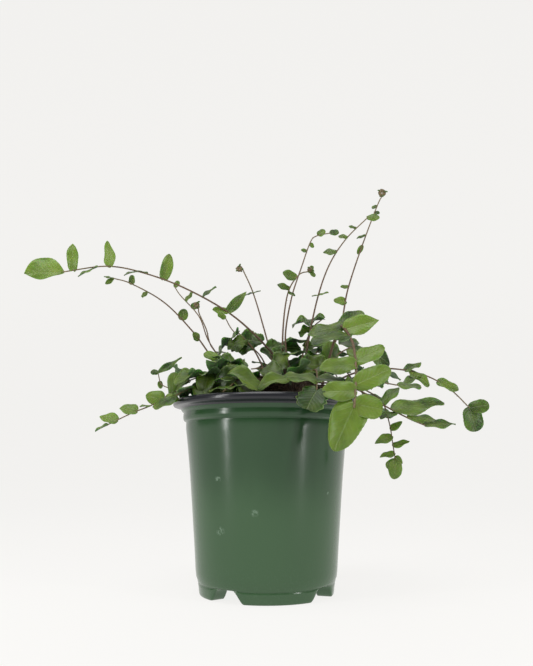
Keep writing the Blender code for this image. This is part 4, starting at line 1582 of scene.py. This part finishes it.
# The tones of fronds and leaflets are partly painted light and shade: the front cascade is lighter, the
# canopy and the back darker.
# each frond's name, knots, leaflets and look, in the order in which they take their room
TRAINED = (
    ("frond_long_left", (
        (14, 8), (11, 6, 131), (1, 2, 146), (-21, -8, 165), (-48, -18, 179), (-73, -26, 187), (-95, -31, 190),
        (-120, -36, 185),
    ), leaves(
        (0.965, (-0.5, 0, 6), (0, -1, 0), 17, 7, F.OVAL, 0.7), (0.89, (-5, -2, -3), (0, -1, 3), 13, 6),
        (0.84, (-1, 0, 6), (-1, -3, 0), 17, 7.5, F.SPEAR, 0.7), (0.75, (-4, -2, -1), (0, -1, 3), 9, 5),
        (0.75, (3, 4, 1), (0, -1, 3), 8, 6), (0.665, (1.5, 0, 6), (1, -3, 0), 17, 7.5, F.OVAL, 0.8),
        (0.52, (3.5, 2, 4), (0, -1, 2), 12, 3.5, F.SLIM, 0.4),
        (0.42, (4, 0, 4.2), (1, -2, 1), 18, 6.5, F.SPEAR, 0.6),
        (0.42, (-5, -2, 0.8), (0, -2, 1), 9.5, 6, F.OVAL, 1.0),
        (1.0, (-7, -1, -0.5), (0, -4, 1), 22, 15, F.WING, 0.68),
    ), FrondLook(tone=0.62, age=0.15)),
    ("frond_second_left", (
        (-12, 2), (-29, 0, 134), (-45, -8, 154), (-63, -13, 172), (-83, -17, 183), (-94, -19, 186),
    ), leaves(
        (0.91, (-1, 0, 5), (-1, -2, 0), 6, 5), (0.83, (-2, -3, -4), (-1, -2, 1), 6, 4.5),
        (0.60, (0.5, -1, 4), (0, -3, -1), 7, 6.5), (0.47, (-2, -2, 2), (0, -2, 1), 6, 5.5),
        (1.0, (-4, 0, 1), (0, -1, 2), 6, 4), (1.0, (-3, -1, -3), FACING, 6, 3.5),
    ), FrondLook(tone=0.5, stem_foot=0.55, stem_tip=0.28)),
    ("frond_crook_left", (
        (-8, 8), (-20, 10, 132), (-35, 10, 148), (-39, 10, 160), (-44, 10, 171), (-44, 10, 176),
    ), leaves(
        (0.45, (-4, -1, 1), SKY, 7, 6), (0.58, (3, 2, 1), SKY, 7, 6),
    ), FrondLook(tone=0.4, stem_foot=0.5, stem_tip=0.3, crozier=2.6)),
    ("frond_wiry_left", (
        (-3, 12), (-18, 16, 128), (-37, 20, 152), (-45, 22, 171), (-58, 24, 186), (-62, 24, 192),
    ), leaves(
        (0.90, (3, -2, 3), (0, -1, 1), 8, 6), (0.81, (1, 1, 3), FACING, 6, 5), (1.0, (1, 0, 2), FACING, 5, 4),
    ), FrondLook(tone=0.5, stem_foot=0.5, stem_tip=0.26)),
    ("frond_heart_tip", (
        (4, 14), (1, 20, 133), (-5, 24, 146), (-22, 28, 162), (-28, 30, 172),
    ), leaves(
        (1.0, (-2, -1, 1), (0, -2, 1), 6, 5, F.ROUND, 0.9), (0.45, (-4, 1, 1), UP, 9, 8),
    ), FrondLook(tone=0.55, stem_foot=0.5, stem_tip=0.28)),
    ("frond_crozier_mid", (
        (10, 13), (6, 18, 131), (0, 24, 157), (-9, 30, 189), (-17, 32, 208),
    ), leaves(
        (0.81, (-4, -1, -1), UP, 6, 5), (0.81, (4, 2, 2), UP, 6, 5),
    ), FrondLook(tone=0.35, stem_foot=0.5, stem_tip=0.34, crozier=3.0)),
    ("frond_slim_mid", (
        (12, -4), (11, -6, 130), (10, -10, 152), (13, -14, 177), (20, -16, 189), (27, -17, 191),
    ), leaves(
        (0.90, (-4, -1, 1.5), (0, -3, 1), 9, 7), (0.80, (-4, -1, 1.5), (0, -2, 1), 8, 5),
        (0.77, (3, 1, -1), TILT, 5, 4), (0.995, (1, 0, 3), FACING, 4, 3), (1.0, (3, 0, -3), FACING, 4.5, 3),
    ), FrondLook(tone=0.5, stem_foot=0.6, stem_tip=0.3, crozier=1.8)),
    ("frond_slim_tall", (
        (16, 4), (12, 6, 152), (16, 6, 179), (23, 6, 201), (29, 6, 218), (33, 6, 222), (42, 6, 224),
    ), leaves(
        (0.93, (1, 0, 1), FACING, 6, 5), (1.0, (4, 0, 1), FACING, 6, 5), (0.83, (-4, 0, 1), FACING, 4, 3),
        (0.88, (2, 0, -3), FACING, 4, 3),
    ), FrondLook(tone=0.45, stem_foot=0.6, stem_tip=0.28)),
    ("frond_arch_upright", (
        (22, 1), (25, 2, 143), (32, 0, 176), (40, -3, 199), (51, -5, 216), (65, -6, 230),
    ), leaves(
        (0.77, (-6, 0, 0.6), (0, -3, 2), 8.5, 6), (0.54, (-4, -2, -0.6), (0, -1, 3), 5, 3),
        (0.54, (4, 2, 1.8), (0, -1, 3), 8, 4), (0.86, (-4, 0, 1), (0, -3, 2), 6, 4.5),
        (0.92, (-2, 0, 1), TILT, 5, 4), (1.0, (4, 0, 0.6), FACING, 8, 5.5),
    ), FrondLook(tone=0.5, stem_foot=0.6, stem_tip=0.28)),
    ("frond_tallest", (
        (29, 9), (47, 14, 158), (54, 16, 188), (65, 20, 220), (78, 24, 253), (82, 24, 258),
    ), leaves(
        (0.94, (-4, 0, -1), FACING, 4, 3), (0.90, (3, 0, 1), FACING, 4, 3.5),
        (0.80, (-5, -1, -1.4), (0, -2, 1), 7, 2.4, F.SLIM, 0.3), (0.755, (-2, 0, -4), FACING, 7, 3.6),
        (0.56, (-5, 0, 0.4), FACING, 5.5, 3), (0.505, (-6, -1, 0.2), FACING, 8, 6.5, F.KITE, 0.6),
    ), FrondLook(tone=0.45, stem_foot=0.62, stem_tip=0.3, crozier=3.8)),
    ("frond_front_cascade", (
        (34, 1), (40, -8, 143), (44, -18, 155), (46, -30, 152), (49, -42, 141), (49, -52, 126),
        (47, -61, 109), (46, -63, 103),
    ), leaves(
        (0.99, (-4.6, -1, -9), (-1, -6, 2), 27, 19, F.KITE, 0.95),
        (0.99, (6, -1, -1), (1, -6, 1), 15, 13, F.ROUND, 0.9), (0.92, (-9, -1, 0), (0, -3, 1), 18, 12),
        (0.89, (8, 1, 4), (1, -3, 1), 22, 12), (0.79, (-9, -2, -1), (0, -2, 1), 21, 11),
        (0.77, (8, 1, 4), (0, -3, 2), 19, 11), (0.60, (-8, -2, -1), (0, -1.6, 2.2), 23, 12, F.EASY, 0.4),
        (0.55, (8, -1, 1.8), (0.5, -3, 1), 21, 13, F.SPEAR, 0.95),
        (0.47, (-8, -1, -1.6), (0.2, -2, 2), 21, 12, F.EASY, 0.3),
        (0.45, (6, 1, 5), (0.4, -2, 1.6), 19, 11, F.EASY, 0.25),
    ), FrondLook(tone=0.85, age=0.1, stem_foot=0.75, stem_tip=0.55)),
    ("frond_right_reach", (
        (34, 5), (43, 7, 125), (59, 8, 132), (79, 8, 134), (100, 8, 130), (116, 8, 121), (128, 8, 109),
    ), leaves(
        (0.48, (4, 2, -1), (0, -1, 4), 18, 11), (0.62, (4, 2, 2.2), (0, -1, 2), 14, 8),
        (0.65, (3, -3, -2.6), (0, -2, 3), 16, 9), (0.70, (-4, -2, -2), (0, -1, 4), 16, 9),
        (0.79, (9, -2, -3), (0, -3, 2), 14, 8), (1.0, (1.2, -1, -5), (0, -5, 1), 15, 13, F.ROUND, 0.4),
        (1.0, (5, -2, 1.0), (0, -4, 1), 12, 9, F.ROUND, 0.4),
    ), FrondLook(tone=0.6, stem_foot=0.6, stem_tip=0.3)),
    ("frond_right_low", (
        (31, -5), (43, -14, 121), (54, -22, 117), (66, -30, 108), (80, -38, 99), (88, -42, 95),
    ), leaves(
        (0.78, (8, 0.5, 2), (0, -3, 3), 32, 13, F.SPEAR), (0.88, (5, 1, 0.5), (0, -1.6, 2.4), 17, 10),
        (0.81, (-5, -3, -1), (0, -1, 3), 12, 8), (1.0, (6, 1, 0.8), (0, -1.6, 2.4), 18, 9, F.SPEAR),
        (0.70, (5, 2, 6), (0, -1, 2), 16, 8, F.OVAL, 0.6),
    ), FrondLook(tone=0.5, stem_foot=0.6, stem_tip=0.32)),
    ("frond_right_hanging", (
        (27, -2), (50, -8, 122), (59, -14, 118), (68, -21, 110), (71, -26, 97), (72, -29, 85), (73, -30, 76),
    ), leaves(
        (0.83, (4, 0, 2.6), (0, -2, 1), 8.5, 4.5), (0.87, (-5, -1, -1.6), (0, -2, 1), 11, 6),
        (0.92, (4, 0, 1.6), (0, -1, 1), 10, 5), (0.96, (-5, -1, -0.6), (0, -1, 1), 9, 5),
        (1.0, (-0.4, 0, -8), (0, -1, 0), 10.5, 8, F.OVAL, 0.9),
        (0.995, (-5, 0, -3), FACING, 7, 5.5, F.ROUND, 0.9), (0.98, (3, 0, -2.5), FACING, 5.5, 4),
    ), FrondLook(F.SPEAR, F.OVAL, tone=0.75, stem_foot=0.5, stem_tip=0.24)),
    ("frond_left_low", (
        (-13, -5), (-35, -14, 122), (-52, -21, 117), (-66, -26, 108), (-77, -29, 103), (-90, -33, 96),
    ), leaves(
        (0.62, (0.6, 0, 6), (0, -3, 1), 13, 7, F.SPOON, 0.5),
        (0.68, (-5, -1, 1), (0, -3, 1), 10, 10, F.KITE, 0.65),
        (0.66, (4, -2, -1), (0, -2, 1), 9, 6, F.OVAL, 1.0),
        (0.83, (-5, 0, 1), (0, -3, 2), 11, 8, F.SPEAR, 0.7), (0.76, (-3, -3, 0), (0, -1, 3), 7, 5),
        (0.94, (-5, 0, 1), (0, -3, 2), 11, 7.5, F.SPEAR, 0.7),
        (1.0, (-5, 0, -2), (0, -1, 3), 8, 5, F.SLIM, 0.5),
    ), FrondLook(tone=0.6, stem_foot=0.5, stem_tip=0.26)),
    ("frond_left_back", (
        (-8, 5), (-42, 10, 122), (-59, 14, 122), (-68, 18, 125), (-71, 20, 133),
    ), leaves(
        (1.0, (5, 1, 3.4), (0, -2, 1), 19, 5, F.SPEAR, 0.35), (0.99, (-4, 0, 1), FACING, 5, 4),
        (0.93, (0.5, 0, -4), FACING, 5, 3.5), (0.72, (-5, -2, -1), UP, 9, 7), (0.55, (-2, 4, 1), UP, 10, 9),
        (0.55, (-1, -4, 1), UP, 10, 9),
    ), FrondLook(tone=0.45, stem_foot=0.5, stem_tip=0.26)),
    ("frond_mat_left", (
        (-8, -10), (-18, -18, 125), (-30, -21, 127), (-40, -19, 125), (-48, -14, 123),
    ), leaves(
        (1.0, (-9, 4, -4), (-1, -3, 2), 15, 13, F.WAVY, 0.35),
        (0.79, (-5, -4, -3), (0, -2, 3), 19, 15, F.FOLDED, 0.55),
        (0.58, (-16, -2, 1), UP, 22, 17, F.WAVY, 0.6), (0.50, (0, -3, -7), (0, -4, 1), 14, 14, F.WAVY, 0.3),
        (0.96, (-5, -4, -2), (0, -2, 3), 13, 10, F.WAVY, 0.45),
        (0.64, (-2, -6, -5), (0, -3, 2), 15, 13, F.FOLDED, 0.55),
        (0.72, (-1, -5, -6), (0, -3, 2), 14, 12, F.FOLDED, 0.35),
    ), FrondLook(F.WAVY, F.WAVY, tone=0.5)),
    ("frond_mat_front", (
        (1, -12), (-6, -20, 125), (-14, -28, 127), (-21, -36, 125),
    ), leaves(
        (1.0, (15, -4, -7), (1, -4, 4), 22, 12, F.FOLDED, 0.65),
        (0.48, (-9, -2, 2), (0, 1, 3), 17, 13, F.WAVY, 0.6),
        (0.75, (-4, -3, -7), (-1, -4, 2), 16, 14, F.WAVY, 0.3),
    ), FrondLook(F.WAVY, F.FOLDED, tone=0.62)),
    ("frond_mat_mid", (
        (13, -13), (14, -20, 123), (13, -28, 123), (12, -37, 121),
    ), leaves(
        (1.0, (-15, -3, -2), (0, -3, 3), 18, 10, F.FOLDED, 0.7),
        (0.72, (9, -1, 3), (-1, 1, 3), 16, 13, F.WAVY, 0.55),
        (0.50, (-12, -2, 3), (0, -2, 3), 15, 12, F.WAVY, 0.25),
    ), FrondLook(F.WAVY, F.WAVY, tone=0.6)),
    ("frond_over_rim", (
        (22, -11), (25, -22, 126), (28, -36, 127), (28, -48, 121), (27, -57, 113),
    ), leaves(
        (1.0, (-3, -2, -5), (-1, -4, 2), 12, 17, F.LOBED, 0.3), (0.84, (-5, -2, 1), (0, -2, 3), 19, 12),
        (0.82, (5, -2, -1), (1, -2, 3), 15, 13), (0.55, (5, 0, 1), SKY, 15, 12),
        (0.52, (-4, -1, 2), SKY, 13, 11),
    ), FrondLook(F.OVAL, F.WAVY, tone=0.42)),
    ("frond_canopy_left", (
        (0, 4), (-3, 6, 136), (-8, 8, 146), (-14, 8, 153), (-18, 7, 157),
    ), leaves(
        (1.0, (-13, -2, -10), (-3, 0, 4), 20, 14, F.WAVY, 0.45),
        (0.86, (-8, -2, -5), (0, -3, 1), 14, 10, F.WAVY, 0.5),
        (0.69, (-12, -1, 1), (0, -3, 2), 14, 11, F.WAVY, 0.2),
    ), FrondLook(F.WAVY, F.WAVY, tone=0.28)),
    ("frond_canopy_mid", (
        (7, 5), (5, 9, 134), (2, 12, 145), (-3, 12, 152),
    ), leaves(
        (1.0, (-14, -1, 3), (0, -3, 2), 19, 13, F.WAVY, 0.3),
        (0.83, (16, 1, 2), (0, -3, 2), 22, 14, F.WAVY, 0.22),
    ), FrondLook(F.WAVY, F.WAVY, tone=0.25)),
    ("frond_canopy_right", (
        (19, 8), (22, 11, 137), (25, 12, 150), (30, 10, 161), (36, 7, 166),
    ), leaves(
        (1.0, (-14, -2, -3), (0, -2, 2), 20, 13, F.WAVY, 0.35),
        (0.88, (-9, -3, -5), (0, -2, 2), 11, 8, F.WAVY, 0.4), (0.72, (-13, 1, 1), UP, 15, 10, F.OVAL, 0.5),
        (0.64, (13, -2, 0), (0, -2, 3), 17, 10, F.WAVY, 0.25), (0.48, (5, -2, 1), TILT, 16, 12),
    ), FrondLook(F.WAVY, F.OVAL, tone=0.35)),
    ("frond_canopy_front", (
        (7, -7), (5, -13, 128), (-2, -20, 130), (-9, -25, 129),
    ), leaves(
        (0.74, (4, -5, -5), (0, -4, 2), 16, 14), (0.44, (8, -3, 2), (0, -4, 1), 15, 13),
    ), FrondLook(F.WAVY, F.WAVY, tone=0.22)),
    ("frond_canopy_low", (
        (-5, -3), (-12, -8, 130), (-20, -12, 134), (-30, -12, 138),
    ), leaves(
        (1.0, (-6, 0, 2), (0, -3, 1), 9, 6, F.OVAL, 0.8), (0.54, (-15, -3, 2), (0, -3, 2), 22, 17),
        (0.91, (-9, -1, -2), (0, -2, 1), 10, 6, F.OVAL, 0.9), (0.72, (-3, -6, -6), (0, -4, 2), 16, 15),
    ), FrondLook(F.WAVY, F.WAVY, tone=0.22)),
    ("frond_canopy_centre", (
        (15, -8), (13, -11, 129), (10, -12, 138), (9, -12, 143),
    ), leaves(
        (1.0, (-10, -3, -12), (0, -5, 1), 26, 19), (0.84, (12, 1, 3), UP, 15, 11, F.OVAL, 0.5),
    ), FrondLook(F.WAVY, F.WAVY, tone=0.2)),
    ("frond_shade_right", (
        (25, 4), (36, 3, 133), (46, 4, 143), (57, 6, 148), (66, 10, 146),
    ), leaves(
        (1.0, (4, 1, -2), (0, -2, 1), 17, 13), (0.82, (1, -3, -2), (0, -2, 1), 16, 13),
        (0.8, (-1, 3, 2), (0, -1, 1), 15, 13), (0.58, (2, -4, -2), TILT, 15, 12),
        (0.49, (-15, -2, 2), (0, -3, 2), 18, 14, F.WAVY, 0.25),
        (0.58, (-1, -1, 7), (0, -3, 1), 12, 11, F.ROUND, 0.35),
    ), FrondLook(F.OVAL, F.ROUND, tone=0.3)),
    ("frond_shade_low", (
        (30, 4), (44, 2, 124), (58, -4, 125), (70, -9, 123), (80, -11, 121),
    ), leaves(
        (1.0, (5, 1, 0), (0, -1, 2), 15, 11), (0.8, (-1, -4, -1), (0, -2, 2), 15, 12),
        (0.8, (2, 4, 1), SKY, 15, 12), (0.6, (-1, -4, -1), TILT, 14, 12),
    ), FrondLook(F.WAVY, F.OVAL, tone=0.4)),
)


@dataclass
class Fern:
    """The whole plant: every frond, in the order in which they take their room."""

    plan: tuple = TRAINED

    def trained(self) -> list[Frond]:
        """The fronds of the plan, each of which follows its own way."""
        return [Frond(*plan, seed=10 * number) for number, plan in enumerate(self.plan)]

    def wild(self) -> list[Frond]:
        """The fronds of the far side and the near foot, which follow the common habit."""
        habits = {
            "frond_back_long": ((14, 16), 102, 38, 144, 120, 6, 14),
            "frond_back_mid": ((17, 12), 84, 41, 138, 112, 6, 14),
            "frond_back_right": ((24, 13), 52, 50, 150, 122, 6, 15),
            "frond_back_low_left": ((-1, 16), 138, 56, 132, 106, 5, 15),
            "frond_back_low_right": ((27, 12), 35, 56, 138, 112, 5, 16),
            "frond_back_drape": ((20, 16), 70, 40, 129, 115, 5, 14),
            "frond_front_left": ((-18, -13), 203, 38, 121, 113, 4, 14),
            "frond_front_low": ((-7, -16), 243, 36, 122, 113, 4, 14),
        }
        made = []
        for number, (name, habit) in enumerate(habits.items()):
            knots, leaflets = self.arching(*habit)
            made.append(Frond(name, knots, leaflets, FrondLook(tone=0.45), 500 + 10 * number))
        return made

    def arching(
        self, base: tuple, azimuth: float, reach: float, crest: float, tip: float, pairs: int, length: float
    ) -> tuple:
        """The knots and leaflets of a frond that rises, arches over and droops.

        Args:
            base: Its foot on the crown.
            azimuth: The way it grows, in degrees.
            reach: How far out it goes.
            crest: The height of its arch.
            tip: The height of its tip.
            pairs: How many pairs of leaflets it has.
            length: Their length.

        Returns:
            The knots and the leaflets.
        """
        turn = math.radians(azimuth)
        out = Vector((math.cos(turn), math.sin(turn), 0.0))
        side = Vector((-out.y, out.x, 0.0))
        x, y = base
        # each knot's share of the reach, share of the rise, and sway to the side
        steps = (
            (0.10, 0.45, 0.0), (0.30, 0.86, 0.03), (0.56, 1.0, 0.04), (0.80, None, 0.01), (1.0, None, -0.03),
        )
        low = 118
        top = 0.56  # the share of the reach at which the arch is highest
        knots = [base]
        for share, rise, sway in steps:
            if rise is not None:
                height = low + (crest - low) * rise
            else:
                height = crest + (tip - crest) * (share - top) / 0.44
            place = out * (reach * share) + side * (reach * sway)
            knots.append((round(x + place.x), round(y + place.y), round(height)))
        made = [Leaflet(1.0, tuple(out * 3 + Vector((0, 0, -1))), (0, 0, 1), 1.05 * length, 0.85 * length)]
        for pair in range(pairs):
            share = 0.95 - 0.68 * (pair + 0.5) / pairs
            size = length * (0.78 + 0.32 * math.sin(math.pi * (pair + 0.6) / pairs))
            for hand in (1, -1):
                lift = 0.25 * math.sin(2.3 * pair + hand)
                aim = side * (2.2 * hand) + out * 0.5 + Vector((0, 0, lift))
                face = out * 0.25 + Vector((0, 0, 1))
                made.append(Leaflet(share + 0.02 * hand, tuple(aim), tuple(face), size, 0.78 * size))
        return knots, tuple(made)

    def build(self) -> list[Frond]:
        """Grows every frond: first all the stems, then the leaflets."""
        growth = Growth([self.cad_shape(name) for name in ("pot", "potting_mix", "crown")])
        fronds = self.trained() + self.wild()
        for frond in fronds:
            frond.lay_stem(growth)
        for frond in fronds:
            frond.lay_leaflets(growth)
        return fronds

    def cad_shape(self, name: str) -> tuple:
        """A CAD node's points in millimetres and its faces."""
        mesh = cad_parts[name].data
        return [v.co / MM for v in mesh.vertices], [tuple(p.vertices) for p in mesh.polygons]


# The studio


@dataclass
class Studio:
    """A plain pale room: a floor that sweeps up behind, soft panels and the camera."""

    paper: Colour = (0.10, 0.099, 0.097)
    glow: Colour = (0.850, 0.842, 0.826)
    room: Colour = (1.0, 0.985, 0.95)
    room_strength: float = 0.17
    floor: float = -0.0002  # just under the pot's feet, so that they stand on it
    floor_front: float = -6.0
    sweep_start: float = 1.6
    sweep_radius: float = 1.0
    wall_top: float = 5.0
    half_width: float = 6.0
    aim: Place = (0.0, 0.0, 0.1)  # where the panels look
    camera_height: float = 0.072
    camera_back: float = 0.42
    pitch: float = 11.25
    lens: float = 36.63

    def build(self) -> None:
        """Builds the room, the lights and the camera."""
        self.sweep()
        self.sky()
        self.lamp("left_panel", (-0.363, -0.253, 0.22), (0.024, 0.42), 0.85)
        self.lamp("right_panel", (0.340, -0.285, 0.22), (0.024, 0.42), 0.75)
        self.lamp("top_panel", (-0.10, -0.30, 0.95), (0.6, 0.6), 4.6)
        self.camera()

    def sweep(self) -> None:
        """Lays the pale floor and sweeps it up behind the plant."""
        turns = [math.radians(7.5 * k) for k in range(13)]
        start, radius = self.sweep_start, self.sweep_radius
        bend = [(start + radius * math.sin(t), radius * (1.0 - math.cos(t))) for t in turns]
        line = [(self.floor_front, 0.0), *bend, (start + radius, self.wall_top)]
        points, faces = [], []
        for y, z in line:
            points += [(-self.half_width, y, z + self.floor), (self.half_width, y, z + self.floor)]
        for i in range(len(line) - 1):
            faces.append((2 * i, 2 * i + 1, 2 * i + 3, 2 * i + 2))
        mesh = bpy.data.meshes.new("studio_sweep")
        mesh.from_pydata(points, [], faces)
        mesh.polygons.foreach_set("use_smooth", [True] * len(faces))
        bench = ShaderBench("studio_paper")
        mesh.materials.append(bench.finish(
            Base_Color=self.paper, Roughness=0.95, Specular_IOR_Level=0.0,
            Emission_Color=self.glow, Emission_Strength=1.0,
        ))
        sweep = linked("studio_sweep", mesh)

    def sky(self) -> None:
        """Sets the even light of the room."""
        world = bpy.data.worlds.new("studio_room")
        world.use_nodes = True
        world.node_tree.nodes["Background"].inputs["Color"].default_value = (*self.room, 1.0)
        world.node_tree.nodes["Background"].inputs["Strength"].default_value = self.room_strength
        bpy.context.scene.world = world

    def lamp(self, name: str, place: Place, size: tuple, watts: float) -> None:
        """Hangs one soft panel that looks at the plant.

        Args:
            name: Its name.
            place: Where it hangs.
            size: Its width and height.
            watts: Its power.
        """
        light = bpy.data.lights.new(name, "AREA")
        light.shape = "RECTANGLE"
        light.size, light.size_y = size
        light.energy = watts
        lamp = linked(name, light)
        lamp.location = place
        lamp.rotation_euler = (Vector(self.aim) - Vector(place)).to_track_quat("-Z", "Y").to_euler()

    def camera(self) -> None:
        """Stands the camera in front, low and looking up a little."""
        made = bpy.data.cameras.new("front_camera")
        made.lens = self.lens
        made.sensor_width = 36.0
        made.clip_start = 0.01
        camera = linked("front_camera", made)
        camera.location = (0.0, -self.camera_back, self.camera_height)
        camera.rotation_euler = (math.radians(90.0 + self.pitch), 0.0, 0.0)
        bpy.context.scene.camera = camera
        bpy.context.scene.view_settings.view_transform = "Standard"


def main() -> None:
    """Builds every piece in order and says what it made."""
    logging.basicConfig(level=logging.INFO, format="%(message)s")
    spots = (
        (-0.0269, 0.066, 0.0022), (-0.0253, 0.038, 0.0030), (-0.0063, 0.048, 0.0026), (0.0345, 0.058, 0.0012),
    )
    # deep is the colour of the painted shade toward the top of the pot and under its lip
    green = PotPlastic(
        "pot_green", colour=(0.041, 0.101, 0.040), deep=(0.017, 0.058, 0.019), mark=(0.20, 0.30, 0.21),
        roughness=0.20, spots=spots,
    ).make()
    # the lining's material also paints the shade on the bands under the lip
    dark = PotPlastic(
        "pot_lining_and_lip_shade", colour=(0.018, 0.019, 0.025), deep=(0.013, 0.014, 0.018), mark=(0.10, 0.10, 0.11),
        roughness=0.24,
    ).make()
    claim(NurseryPot().build(green, dark), "pot")
    earth = EarthFinish("moist_mix", (0.012, 0.008, 0.005), (0.055, 0.034, 0.020)).make()
    bark = EarthFinish("bark_bits", (0.05, 0.026, 0.014), (0.14, 0.085, 0.05)).make()
    grit = EarthFinish("white_grit", (0.45, 0.43, 0.40), (0.75, 0.73, 0.70), 0.85).make()
    ground = PottingMix()
    bits = {"Crumb size": earth, "Bark size": bark, "Grit size": grit}
    claim(ground.build(earth, bits), "potting_mix")
    wood = EarthFinish("crown_wood", (0.022, 0.014, 0.008), (0.085, 0.056, 0.030), 0.85).make()
    hair = EarthFinish("brown_scales", (0.045, 0.024, 0.013), (0.16, 0.09, 0.05), 0.7, 2000.0).make()
    claim(CrownClump().build(ground, wood, hair), "crown")
    leaf, stem = LeafFinish().make(), StemFinish().make()
    for frond in Fern().build():
        claim(frond.build(leaf, stem, hair), frond.name)
    Studio().build()


if __name__ == "__main__":
    main()
